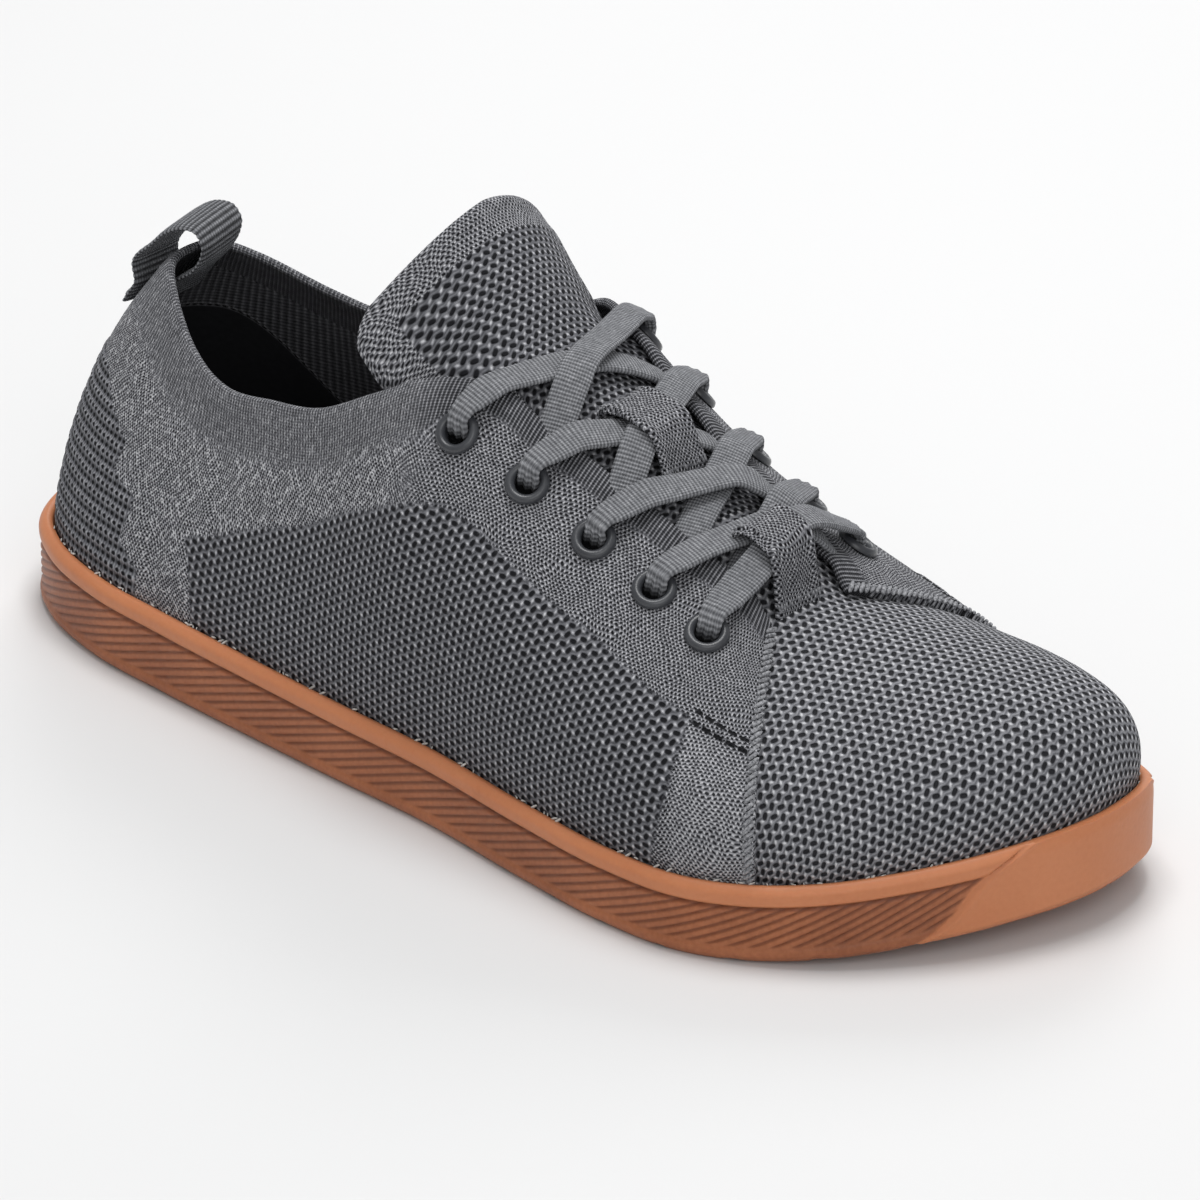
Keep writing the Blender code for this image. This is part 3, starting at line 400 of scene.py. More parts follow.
def make_outsole():
    """Closed mesh of the sole: side, cup wall, footbed and grooved underside."""
    shares = np.linspace(0, 1, SOLE_COLUMNS + 1)
    columns = []
    painted_shades = []
    for side in (-1, 1):
        base, outward = side_points(side, shares, 0.0)
        inset, height, dark = sole_side(shares, base)
        ground = floor_lift(base[:, 0])[:, None]
        x = base[:, :1] - outward[:, :1] * inset
        y = base[:, 1:] - outward[:, 1:] * inset
        grooves = np.zeros_like(x)
        for place in FLEX_GROOVES:
            grooves = np.maximum(grooves, bell(x - place * MM, FLEX_WIDTH))
        lowest = FLEX_DEPTH * grooves * (1 - ease(height / FLEX_REACH))
        z = ground + np.maximum(height, lowest)
        wall = wall_height(base[:, 0])
        cup = []
        for depth, level in CUP_STEPS:
            cup.append((base - outward * CUP_WALL * depth, ground[:, 0] + wall * level))
        cup.append((base - outward * CUP_WALL, ground[:, 0] + FOOTBED_HEIGHT))
        for spot, level in cup:
            x = np.c_[x, spot[:, 0]]
            y = np.c_[y, spot[:, 1]]
            z = np.c_[z, level]
            dark = np.c_[dark, np.zeros(len(level))]
        columns.append(np.stack([x, y, z], axis=2))
        painted_shades.append(dark)
    ring = np.concatenate([columns[0], columns[1][-2:0:-1]])
    ring_painted_shade = np.concatenate([painted_shades[0], painted_shades[1][-2:0:-1]]).ravel()
    total, rows = ring.shape[:2]
    points = [ring.reshape(-1, 3)]
    faces = grid_faces(total, rows, True)
    low = [index * rows for index in range(total)]
    high = [index * rows + rows - 1 for index in range(total)]
    first = total * rows
    under = []
    for index in range(1, SOLE_COLUMNS):
        one = ring[index, 0]
        two = ring[total - index, 0]
        for row in range(1, UNDERSIDE_ROWS):
            spot = one + (two - one) * row / UNDERSIDE_ROWS
            groove = max(float(bell(spot[0] - place * MM, FLEX_WIDTH)) for place in FLEX_GROOVES)
            bend = WAVE_BEND * math.sin(spot[1] / WAVE_BEND_LENGTH)
            wave = WAVE_DEPTH * max(0.0, math.sin(spot[0] / WAVE_LENGTH + bend))
            middle = float(ease(row / WAVE_MARGIN) * ease((UNDERSIDE_ROWS - row) / WAVE_MARGIN))
            lift = float(floor_lift(spot[0]))
            under.append((spot[0], spot[1], lift + max(FLEX_DEPTH * groove, wave * middle)))
    points.append(np.array(under))
    inner = UNDERSIDE_ROWS - 1

    def under_index(index, row):
        if index == 0:
            return low[0]
        if index == SOLE_COLUMNS:
            return low[SOLE_COLUMNS]
        if row == 0:
            return low[index]
        if row == UNDERSIDE_ROWS:
            return low[total - index]
        return first + (index - 1) * inner + row - 1

    for index in range(SOLE_COLUMNS):
        for row in range(UNDERSIDE_ROWS):
            face = [
                under_index(index, row),
                under_index(index, row + 1),
                under_index(index + 1, row + 1),
                under_index(index + 1, row),
            ]
            face = list(dict.fromkeys(face))
            if len(face) > 2:
                faces.append(tuple(face))
    for index in range(SOLE_COLUMNS):
        far = (total - index) % total
        face = [high[index], high[index + 1], high[(total - index - 1) % total], high[far]]
        faces.append(tuple(dict.fromkeys(face)))
    # The dark mark is painted shade: the side's from sole_side, none on the cup, and a painted shade
    # over the whole underside.
    return np.vstack(points), faces, {"dark": np.r_[ring_painted_shade, np.full(len(under), UNDERSIDE_PAINTED_SHADE)]}


class Wire:
    """A number flowing between shader nodes, with arithmetic."""

    def __init__(self, tree, socket):
        self.tree = tree
        self.socket = socket

    def math(self, operation, *others):
        node = self.tree.nodes.new("ShaderNodeMath")
        node.operation = operation
        for place, value in enumerate((self, *others)):
            if isinstance(value, Wire):
                self.tree.links.new(value.socket, node.inputs[place])
            else:
                node.inputs[place].default_value = value
        return Wire(self.tree, node.outputs[0])

    def __add__(self, other):
        return self.math("ADD", other)

    def __sub__(self, other):
        return self.math("SUBTRACT", other)

    def __mul__(self, other):
        return self.math("MULTIPLY", other)

    def __truediv__(self, other):
        return self.math("DIVIDE", other)

    def sine(self):
        return self.math("SINE")

    def floor(self):
        return self.math("FLOOR")

    def fraction(self):
        return self.math("FRACT")

    def size(self):
        return self.math("ABSOLUTE")

    def root(self):
        return self.math("SQRT")

    def most(self, other):
        return self.math("MAXIMUM", other)

    def wave(self, pitch, form="SINE"):
        """A wave of 0 to 1 that comes back at every pitch."""
        return (self * (2 * math.pi / pitch)).math(form) * 0.5 + 0.5

    def step(self, low, high, start=0.0, end=1.0):
        node = self.tree.nodes.new("ShaderNodeMapRange")
        node.interpolation_type = "SMOOTHSTEP"
        self.tree.links.new(self.socket, node.inputs["Value"])
        for name, value in (("From Min", low), ("From Max", high), ("To Min", start), ("To Max", end)):
            node.inputs[name].default_value = value
        return Wire(self.tree, node.outputs["Result"])

    def mix(self, other, share):
        return self + (other - self) * share


def blank_material(name, roughness):
    """A new material, its node tree and its shader."""
    made = bpy.data.materials.new(name)
    made.use_nodes = True
    shader = made.node_tree.nodes["Principled BSDF"]
    shader.inputs["Roughness"].default_value = roughness
    return made, made.node_tree, shader


def object_place(tree):
    """The Object coordinates' socket."""
    return tree.nodes.new("ShaderNodeTexCoord").outputs["Object"]


def noise(tree, place, scale, detail=2.0):
    """Soft noise of about 0 to 1 at a place."""
    node = tree.nodes.new("ShaderNodeTexNoise")
    node.inputs["Scale"].default_value = scale
    node.inputs["Detail"].default_value = detail
    tree.links.new(place, node.inputs["Vector"])
    return Wire(tree, node.outputs["Fac"])


def ramp(tree, share, stops):
    """A colour that follows a number through stops of (place, colour)."""
    node = tree.nodes.new("ShaderNodeValToRGB")
    line = node.color_ramp
    while len(line.elements) < len(stops):
        line.elements.new(0.5)
    for element, (place, colour) in zip(line.elements, stops):
        element.position = place
        element.color = (*colour, 1.0)
    tree.links.new(share.socket, node.inputs["Fac"])
    return node.outputs["Color"]


def raise_surface(tree, shader, height, depth):
    """Bump from a height of 0 to 1 and its depth in metres."""
    node = tree.nodes.new("ShaderNodeBump")
    node.inputs["Strength"].default_value = 1.0
    node.inputs["Distance"].default_value = depth
    tree.links.new(height.socket, node.inputs["Height"])
    tree.links.new(node.outputs["Normal"], shader.inputs["Normal"])


def mark_value(tree, name):
    """A point attribute of the piece."""
    node = tree.nodes.new("ShaderNodeAttribute")
    node.attribute_name = name
    return Wire(tree, node.outputs["Fac"])


def gum_rubber():
    """Terracotta gum rubber, slightly mottled, with painted shade below its bead, in its grooves and on
    its underside.
    """
    made, tree, shader = blank_material("gum_rubber", 0.46)
    place = object_place(tree)
    cloud = noise(tree, place, 35.0, 3.0)
    speck = noise(tree, place, 900.0, 2.0)
    # The dark mark subtracts painted shade from the mottled colour.
    shade = cloud * 0.35 + speck * 0.15 + 0.4 - mark_value(tree, "dark") * 0.38
    colour = ramp(tree, shade, (
        (0.10, (0.165, 0.049, 0.020)),
        (0.35, (0.275, 0.090, 0.037)),
        (0.60, (0.535, 0.196, 0.084)),
        (0.80, (0.600, 0.235, 0.108)),
    ))
    tree.links.new(colour, shader.inputs["Base Color"])
    shader.inputs["Specular IOR Level"].default_value = 0.35
    shader.inputs["Subsurface Weight"].default_value = 0.12
    shader.inputs["Subsurface Radius"].default_value = (0.004, 0.0015, 0.0008)
    shader.inputs["Subsurface Scale"].default_value = 0.6
    raise_surface(tree, shader, speck, 0.00006)
    return made


sole_points, sole_faces, sole_marks = make_outsole()
outsole = mesh_piece("sole_cup", sole_points, sole_faces, None, sole_marks, 50)
outsole.data.materials.append(gum_rubber())
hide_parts("outsole")

# Insole
# A thin black foam sheet with a cloth top, lying on the footbed inside the upper.
UPPER_WALL = 2.0 * MM
INSOLE_THICKNESS = 3.0 * MM
INSOLE_COLUMNS = 120
INSOLE_EDGE = ((0.6, 0.0), (0.0, 0.35), (0.0, 0.75), (0.5, 1.0), (2.2, 1.0), (6.0, 0.86))


def make_insole():
    """Closed mesh of the insole, with a rounded edge that is a little raised."""
    inset = CUP_WALL + UPPER_WALL + 2 * CLEARANCE
    shares = np.linspace(0, 1, INSOLE_COLUMNS + 1)
    sides = []
    for side in (-1, 1):
        base, outward = side_points(side, shares, inset)
        rows = []
        for inward, level in INSOLE_EDGE:
            spot = base - outward * inward * MM
            height = floor_lift(base[:, 0]) + FOOTBED_HEIGHT + CLEARANCE + level * INSOLE_THICKNESS
            rows.append(np.c_[spot, height])
        sides.append(np.stack(rows, axis=1))
    ring = np.concatenate([sides[0], sides[1][-2:0:-1]])
    total, rows = ring.shape[:2]
    faces = grid_faces(total, rows, True)
    for index in range(INSOLE_COLUMNS):
        for row, up in ((0, False), (rows - 1, True)):
            face = [
                index * rows + row,
                (index + 1) * rows + row,
                (total - index - 1) % total * rows + row,
                (total - index) % total * rows + row,
            ]
            face = list(dict.fromkeys(face))
            faces.append(tuple(face if up else face[::-1]))
    return ring.reshape(-1, 3), faces


def black_cloth():
    """Black brushed cloth, almost without shine."""
    made, tree, shader = blank_material("black_cloth", 0.92)
    grain = noise(tree, object_place(tree), 1500.0, 3.0)
    colour = ramp(tree, grain, ((0.3, (0.004, 0.004, 0.0045)), (0.7, (0.012, 0.012, 0.013))))
    tree.links.new(colour, shader.inputs["Base Color"])
    raise_surface(tree, shader, grain, 0.0001)
    return made


insole_points, insole_faces = make_insole()
insole = mesh_piece("insole_sheet", insole_points, insole_faces)
insole.data.materials.append(black_cloth())
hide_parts("insole")

# Upper: quarters
# One knitted piece from the front seam round the heel to the other front seam, with an open
# mesh side, denser heel, ankle and eyestay, a folded edge at the collar and a ribbed lining.
INSTEP_HEIGHT = 91 * MM
COLLAR_HEIGHT = 81.5 * MM
VAMP_HEIGHT = 56 * MM
QUARTER_STEP = 2.2 * MM
SEAM_STATION = 0.765
HEEL_LEAN = 32 * MM
THROAT_HALF_WIDTH = 12 * MM
CORNER_STATION = 0.488
CUP_LIP_SHARE = 0.97
QUARTER_COLUMNS = 620
QUARTER_ROWS = 78
LIP_ROWS = 7
LINING_ROWS = 22
EYELETS_PER_SIDE = 5
EYELET_FIRST_STATION = 0.484
EYELET_LAST_STATION = 0.690
EYELET_FIRST_INSET = 11.5 * MM
EYELET_LAST_INSET = 14.5 * MM
EYELET_BORE_RADIUS = 2.6 * MM
EYELET_WALL = 0.5 * MM
EYELET_PUNCH_SLOPE = 0.8 * MM
EYELET_PUNCH_DEPTH = 1.65 * MM
SIDE_LENGTH = 340.0
SIDE_HEIGHT = 64.0
RIM_CLIMB_START = 0.27
RIM_CLIMB_REACH = 0.20
RIM_SETTLE_START = 0.60
RIM_SETTLE_REACH = 0.165
THROAT_BLEND_START = 0.44
THROAT_BLEND_REACH = 0.09
QUARTER_TABLE_COLUMNS = ("station", "along", "half", "height", "rise", "bulge", "crown", "slope")
QUARTER_TABLE = (
    (0.000, 0.000, 0.000, 1.000, 0.26, 0.00, 0.39, 44),
    (0.060, 0.006, 0.095, 0.991, 0.26, -0.02, 0.38, 47),
    (0.120, 0.029, 0.171, 0.951, 0.25, -0.03, 0.34, 55),
    (0.200, 0.080, 0.272, 0.865, 0.26, -0.02, 0.30, 64),
    (0.270, 0.127, 0.323, 0.829, 0.32, 0.02, 0.30, 72),
    (0.330, 0.182, 0.352, 0.838, 0.36, 0.04, 0.30, 70),
    (0.385, 0.247, 0.371, 0.853, 0.38, 0.05, 0.30, 62),
    (0.430, 0.309, 0.372, 0.933, 0.40, 0.05, 0.32, 54),
    (0.460, 0.353, 0.338, 0.990, 0.42, 0.05, 0.34, 46),
    (0.488, 0.393, 0.272, 1.000, 0.42, 0.05, 0.36, 38),
    (0.530, 0.444, 0.234, 0.929, 0.42, 0.06, 0.40, 32),
    (0.590, 0.516, 0.192, 0.826, 0.40, 0.07, 0.42, 27),
    (0.640, 0.571, 0.172, 0.756, 0.40, 0.08, 0.44, 24),
    (0.700, 0.622, 0.158, 0.687, 0.38, 0.09, 0.46, 22),
    (0.765, 0.649, 0.152, 0.615, 0.36, 0.09, 0.48, 20),
)

# Knitted zones of the side: station, and share of the height up from the sole.
OPEN_MESH_ZONE = (
    (0.274, -0.20), (0.268, 0.21), (0.259, 0.36), (0.324, 0.51), (0.408, 0.65), (0.481, 0.665),
    (0.520, 0.66), (0.571, 0.61), (0.623, 0.58), (0.671, 0.53), (0.706, 0.51), (0.704, 0.27),
    (0.683, -0.20),
)
HEEL_RIB_ZONE = (
    (-0.20, -0.20), (-0.20, 0.62), (0.100, 0.62), (0.127, 0.565), (0.165, 0.52), (0.163, 0.40),
    (0.197, 0.37), (0.192, 0.185), (0.215, 0.11), (0.215, -0.20),
)
CLIMB_BELOW = 12
EYESTAY_STATION = 0.47
EYESTAY_REACH = 0.03
PANEL_STATION = 0.706
DASH_SHARE = 0.523
DASH_FALL = 0.8
DASH_DEPTH = 0.5 * MM
DASH_WIDTH = 1.6
DASH_EDGE = 0.01

# Relief of the side: height, then length, distance from the rim and width in millimetres.
PUFF = (0.55 * MM, 5.5, 2.0, 5.0)
PULL = (0.35 * MM, 4.5, 1.0, 6.0)
FIRST_PUFF = 0.455
LAST_PUFF = 0.72
COLLAR_PUFF = 0.45 * MM
COLLAR_PUFF_PLACE = 2.5
COLLAR_PUFF_WIDTH = 4.0
HEEL_RIB_DEPTH = 0.35 * MM
HEEL_RIB_PITCH = 3.1
HEEL_RIB_POWER = 0.7
HEEL_RIB_EDGE = 1.2
FOLD_DEPTH = 0.25 * MM
FOLD_STATION = 0.742
FOLD_WIDTH = 0.0016
FOLD_TOP_SHARE = 0.55
FOLD_TOP_EDGE = 0.05

# Creases of the side: station, share of the height, reach, width, depth, turn in degrees.
CREASES = (
    (0.690, 0.600, 9, 1.8, 0.40, -25),
    (0.425, 0.700, 15, 3.2, 0.45, 28),
    (0.300, 0.640, 13, 3.0, 0.35, -32),
    (0.235, 0.300, 12, 3.0, 0.30, 60),
)


def quarter_values(name, stations):
    """A column of the quarter table, read at signed stations, even about the heel."""
    knots = column(QUARTER_TABLE, QUARTER_TABLE_COLUMNS, "station")
    values = column(QUARTER_TABLE, QUARTER_TABLE_COLUMNS, name)
    mirror = -1 if name == "half" else 1
    both_knots = np.r_[-knots[:0:-1], knots]
    both_values = np.r_[mirror * values[:0:-1], values]
    return follow(both_knots, both_values, stations)


def quarter_rim(stations):
    """Points of the quarters' rim at signed stations, plus for the lateral side."""
    share = np.abs(stations)
    climbed = ease((share - RIM_CLIMB_START) / RIM_CLIMB_REACH)
    top = quarter_values("height", stations)
    top = top * (COLLAR_HEIGHT + (INSTEP_HEIGHT - COLLAR_HEIGHT) * climbed)
    settled = ease((share - RIM_SETTLE_START) / RIM_SETTLE_REACH)
    top = top + settled * (VAMP_HEIGHT - QUARTER_TABLE[-1][3] * INSTEP_HEIGHT)
    x = HEEL_LEAN + quarter_values("along", stations) * LENGTH
    throat = THROAT_HALF_WIDTH / (QUARTER_TABLE[-1][2] * HEEL_WIDTH)
    scale = 1 + (throat - 1) * ease((share - THROAT_BLEND_START) / THROAT_BLEND_REACH)
    y = -quarter_values("half", stations) * HEEL_WIDTH * scale
    return np.c_[x, y, top]


def foot_points(stations, inset):
    """Points inside the cup's lip under signed stations, with the way outwards."""
    spots = np.empty((len(stations), 2))
    outward = np.empty((len(stations), 2))
    depth = np.broadcast_to(inset, len(stations))
    for side, chosen in ((-1, stations >= 0), (1, stations < 0)):
        spot, away = side_points(side, np.abs(stations[chosen]), depth[chosen])
        spots[chosen] = spot
        outward[chosen] = away
    return spots, outward


def wall_curves(stations, rim, rise, bulge, crown, slope, shares, inset=CUP_WALL + CLEARANCE):
    """Columns of the upper's outer surface, from inside the cup to the rim."""
    spots, outward = foot_points(stations, inset)
    ground = floor_lift(spots[:, 0])
    low = np.c_[spots, ground + FOOTBED_HEIGHT + CLEARANCE]
    start = np.c_[spots, ground + wall_height(spots[:, 0]) * CUP_LIP_SHARE]
    chord = np.linalg.norm(rim - start, axis=1)[:, None]
    flat = (rim - start) * (1, 1, 0)
    flat /= np.linalg.norm(flat, axis=1)[:, None]
    angle = np.radians(slope)[:, None]
    arrive = flat * np.cos(angle) + np.array([0, 0, 1]) * np.sin(angle)
    away = np.c_[outward, np.zeros(len(outward))]
    handle = start + np.array([0, 0, 1]) * rise[:, None] * chord + away * bulge[:, None] * chord
    back = rim - arrive * crown[:, None] * chord
    rows = [low, (low + start) / 2]
    for t in shares:
        s = 1 - t
        rows.append(start * s**3 + handle * (3 * s * s * t) + back * (3 * s * t * t) + rim * t**3)
    return np.stack(rows, axis=1), arrive


def surface_normals(grid):
    """Unit normals of a grid of points, [column][row]."""
    normals = np.cross(np.gradient(grid, axis=0), np.gradient(grid, axis=1))
    return normals / np.linalg.norm(normals, axis=2)[:, :, None]


def quarter_surface(stations, shares):
    """Outer surface of the quarters at signed stations, and the way that each rib arrives."""
    parts = [quarter_values(name, stations) for name in ("rise", "bulge", "crown", "slope")]
    return wall_curves(stations, quarter_rim(stations), *parts, shares)


def zone_depth(zone, stations, shares):
    """How far in millimetres a place lies inside a zone, less than 0 outside it."""
    x = stations * SIDE_LENGTH
    y = shares * SIDE_HEIGHT
    corners = np.array(zone) * (SIDE_LENGTH, SIDE_HEIGHT)
    nearest = np.full(x.shape, 1e9)
    inside = np.zeros(x.shape, dtype=bool)
    for one, two in zip(corners, np.roll(corners, -1, axis=0)):
        way = two - one
        share = np.clip(((x - one[0]) * way[0] + (y - one[1]) * way[1]) / (way @ way), 0, 1)
        gap = np.hypot(x - one[0] - share * way[0], y - one[1] - share * way[1])
        nearest = np.minimum(nearest, gap)
        crosses = (one[1] > y) != (two[1] > y)
        with np.errstate(divide="ignore", invalid="ignore"):
            at = one[0] + (y - one[1]) * way[0] / (way[1] if way[1] else 1e-9)
        inside ^= crosses & (x < at)
    return np.where(inside, nearest, -nearest)


def travelled(points):
    """Distance along each column of points, [column][row], in millimetres."""
    steps = np.linalg.norm(np.diff(points, axis=1), axis=2)
    return np.c_[np.zeros(len(points)), np.cumsum(steps, axis=1)] / MM


def rib_spot(station, down):
    """Point on the quarters a distance down from the rim, and the normal there."""
    near = np.array([station - 0.004, station, station + 0.004])
    grid, _ = quarter_surface(near, np.linspace(0, 1, 60))
    points = grid[1][::-1]
    normals = surface_normals(grid)[1][::-1]
    travel = line_travel(points)
    normal = read_line(travel, normals, down)
    return read_line(travel, points, down), normal / np.linalg.norm(normal)


def eyelet_stations():
    return np.linspace(EYELET_FIRST_STATION, EYELET_LAST_STATION, EYELETS_PER_SIDE)


def eyelet_places():
    """Side, number, signed station, place and facing of each eyelet, lateral row first."""
    insets = np.linspace(EYELET_FIRST_INSET, EYELET_LAST_INSET, EYELETS_PER_SIDE)
    places = []
    for side, name in ((1, "lateral"), (-1, "medial")):
        for index, station in enumerate(eyelet_stations()):
            spot, normal = rib_spot(side * station, insets[index])
            places.append((name, index + 1, side * station, spot, normal))
    return places


def wrapped_faces(columns, rows, closed):
    """Faces between neighbouring rings of points, where each ring closes on itself."""
    faces = []
    for one in range(columns if closed else columns - 1):
        a, b = one * rows, (one + 1) % columns * rows
        for row in range(rows):
            after = (row + 1) % rows
            faces.append((a + row, b + row, b + after, a + after))
    return faces


def from_heel(points):
    """Distance in millimetres from the heel's middle to each point of a line right round."""
    travel = line_travel(points) / MM
    return np.abs(travel - travel[QUARTER_COLUMNS // 2])


def rim_bump(off_station, from_rim, height, length, below_rim, width):
    """Soft bump near the rim, at a station and a little below the rim."""
    return height * bell(off_station * SIDE_LENGTH, length) * bell(from_rim - below_rim, width)


def make_quarters():
    """Closed mesh of the quarters, its layers and its zone marks."""
    stations = np.linspace(-SEAM_STATION, SEAM_STATION, QUARTER_COLUMNS + 1)
    shares = np.linspace(0, 1, QUARTER_ROWS)
    outer, arrive = quarter_surface(stations, shares)
    normals = surface_normals(outer)
    from_rim = travelled(outer)[:, -1:] - travelled(outer)
    climb = np.clip(travelled(outer) - travelled(outer)[:, 2:3], -CLIMB_BELOW, None)
    height_share = climb / climb[:, -1:]
    zeros = np.zeros_like(climb)
    along = from_heel(outer[:, QUARTER_ROWS // 2])[:, None] + zeros
    rim_way = from_heel(outer[:, -1])[:, None] + zeros
    size = np.abs(stations)[:, None] + zeros
    relief = np.zeros_like(climb)
    eyestay = ease((size - EYESTAY_STATION) / EYESTAY_REACH)
    between = (eyelet_stations()[1:] + eyelet_stations()[:-1]) / 2
    for place in np.r_[FIRST_PUFF, between, LAST_PUFF]:
        relief += rim_bump(size - place, from_rim, *PUFF)
    for place in eyelet_stations():
        relief -= rim_bump(size - place, from_rim, *PULL) * eyestay
    relief += COLLAR_PUFF * bell(from_rim - COLLAR_PUFF_PLACE, COLLAR_PUFF_WIDTH) * (1 - eyestay)
    ribs = zone_depth(HEEL_RIB_ZONE, size, height_share)
    ridges = np.maximum(0, np.sin(climb / HEEL_RIB_PITCH * 2 * math.pi)) ** HEEL_RIB_POWER
    relief += HEEL_RIB_DEPTH * ease(ribs / HEEL_RIB_EDGE) * ridges
    below_fold = ease((FOLD_TOP_SHARE - height_share) / FOLD_TOP_EDGE)
    relief -= FOLD_DEPTH * bell(size - FOLD_STATION, FOLD_WIDTH) * below_fold
    dash_rows = (height_share - DASH_SHARE + (size - PANEL_STATION) * DASH_FALL) * SIDE_HEIGHT
    relief += DASH_DEPTH * bell(dash_rows, DASH_WIDTH) * ease((size - PANEL_STATION) / DASH_EDGE)
    for station, share, reach, width, depth, turn in CREASES:
        forward = (size - station) * SIDE_LENGTH
        upward = (height_share - share) * SIDE_HEIGHT
        turn = math.radians(turn)
        along_crease = forward * math.cos(turn) + upward * math.sin(turn)
        off_crease = upward * math.cos(turn) - forward * math.sin(turn)
        relief -= depth * MM * bell(off_crease, width) * bell(along_crease, reach)
    relief *= np.clip(climb / 3, 0, 1)
    outer = outer + normals * relief[:, :, None]
    half = UPPER_WALL / 2
    lips = []
    for turn in np.linspace(0, math.pi, LIP_ROWS + 2)[1:-1]:
        across = normals[:, -1] * (math.cos(turn) - 1) * half
        lips.append(outer[:, -1] + across + arrive * math.sin(turn) * half)
    inside = outer - normals * UPPER_WALL
    bore = np.zeros_like(climb)
    bore_edge = EYELET_BORE_RADIUS + EYELET_PUNCH_SLOPE + EYELET_WALL
    for _, _, _, spot, _ in eyelet_places():
        gap = np.linalg.norm(outer - spot, axis=2)
        bore = np.maximum(bore, ease((bore_edge - gap) / EYELET_PUNCH_SLOPE))
    outer = outer - normals * (EYELET_PUNCH_DEPTH * bore)[:, :, None]
    picks = np.linspace(outer.shape[1] - 1, 0, LINING_ROWS).round().astype(int)
    loop = np.concatenate([outer, np.stack(lips, axis=1), inside[:, picks]], axis=1)
    rows = loop.shape[1]
    points = loop.reshape(-1, 3)
    total = len(stations)
    faces = wrapped_faces(total, rows, False)
    ends = []
    for one, flip in ((0, False), (total - 1, True)):
        outer_rows = list(range(outer.shape[1]))
        inner_rows = list(range(outer.shape[1] + LIP_ROWS, rows))
        nearest = [outer_rows[pick] for pick in picks]
        for step in range(len(inner_rows) - 1):
            band = outer_rows[nearest[step + 1]:nearest[step] + 1]
            face = [one * rows + row for row in band]
            face += [one * rows + inner_rows[step], one * rows + inner_rows[step + 1]]
            ends.append(tuple(face[::-1] if flip else face))
        lip = [one * rows + row for row in range(outer.shape[1] - 1, outer.shape[1] + LIP_ROWS + 1)]
        ends.append(tuple(lip[::-1] if flip else lip))
    faces += [face[::-1] for face in ends]
    outer_count = outer.shape[1]

    def spread(values, beyond):
        """Values of the outer rows, carried on over the lip and the lining."""
        lip_values = values[:, -1:] + beyond * np.linspace(0.4, 3.2, LIP_ROWS)[None, :]
        return np.concatenate([values, lip_values, values[:, picks]], axis=1)

    lining_mark = np.zeros((total, rows))
    lining_mark[:, outer_count + LIP_ROWS:] = 1.0
    layers = {
        "knit": np.stack([spread(along, 0), spread(climb, 1)], axis=2).reshape(-1, 2),
        "edge": np.stack([spread(rim_way, 0), spread(from_rim, -1)], axis=2).reshape(-1, 2),
    }
    marks = {
        "open_mesh": spread(zone_depth(OPEN_MESH_ZONE, size, height_share), 0).ravel(),
        "heel_ribs": spread(ribs, 0).ravel(),
        "front_panel": spread((size - PANEL_STATION) * SIDE_LENGTH, 0).ravel(),
        "dash_rows": spread(dash_rows, 0).ravel(),
        "eyestay": spread((size - EYESTAY_STATION) * SIDE_LENGTH, 0).ravel(),
        "bore": spread(bore, 0).ravel(),
        "lining": lining_mark.ravel(),
    }
    return points, faces, layers, marks


def layer_place(tree, name):
    """Both numbers of a UV layer, in millimetres."""
    node = tree.nodes.new("ShaderNodeUVMap")
    node.uv_map = name
    parts = tree.nodes.new("ShaderNodeSeparateXYZ")
    tree.links.new(node.outputs["UV"], parts.inputs["Vector"])
    return Wire(tree, parts.outputs["X"]), Wire(tree, parts.outputs["Y"])


def open_mesh_knit(across, up, pitch, row, hole=0.36):
    """Staggered rows of round holes between plump stitches: height and tone, 0 to 1, the tone with a
    painted highlight on each stitch's loop.
    """
    zigzag = (across * (2 * math.pi / pitch)).sine() * 0.10
    level = up / row + zigzag
    course = level.floor()
    odd = (course * 0.5).fraction()
    wale = (across / pitch + odd).fraction() - 0.5
    rise = level.fraction() - 0.5
    wide = wale * (pitch / row)
    gap = (wide * wide * 0.72 + rise * rise * 1.35).root()
    solid = gap.step(hole * 0.62, hole * 1.30)
    # The loop is a raised stitch in the height and a painted highlight in the tone, brightest midway
    # between the holes of a row and a little above its middle.
    loop = wale.size().step(0.18, 0.5) * (rise - 0.12).size().step(0.44, 0.02)
    crest = rise.size().step(0.30, 0.5)
    height = solid * 0.62 + loop * 0.38
    tone = solid * 0.31 + solid * loop * 0.56 + solid * crest * 0.16
    return height, tone


def dense_knit(tree, across, up, pitch=1.05):
    """Fine staggered stitches with a wandering grain."""
    place = object_place(tree)
    drift = noise(tree, place, 190.0, 2.0) * 2.4
    swirl = noise(tree, place, 80.0, 1.0) * 5.5
    height, tone = open_mesh_knit(across + drift, up + swirl, pitch, pitch * 0.74, 0.32)
    fleck = noise(tree, place, 1600.0, 2.0)
    height = height * 0.7 + fleck * 0.3
    tone = tone * 1.15 + fleck * 0.50 - 0.20
    return height, tone


def lozenge_knit(tree, across, up):
    """Dense ankle knit with fine slanting lines that make small lozenges."""
    height, tone = dense_knit(tree, across, up, 0.95)
    place = object_place(tree)
    wander = noise(tree, place, 300.0, 2.0) * 1.9
    left = ((across * 0.55 + up * 0.36 + wander) * (2 * math.pi / 1.45)).sine()
    right = ((across * 0.55 - up * 0.36 + wander) * (2 * math.pi / 1.45)).sine()
    broken = noise(tree, place, 800.0, 1.0).step(0.42, 0.60)
    line = left.most(right).step(0.40, 0.98) * broken
    return height * 0.7 + line * 0.3, tone * 1.0 + line * 0.42


def ribbed_knit(across, down, pitch=0.92):
    """Fine wales that run away from an edge, with small stitches along them."""
    wale = across.wave(pitch)
    stitch = down.wave(0.62)
    height = wale * 0.75 + stitch * 0.25
    tone = wale * 0.50 + stitch * 0.18 + 0.10
    return height, tone


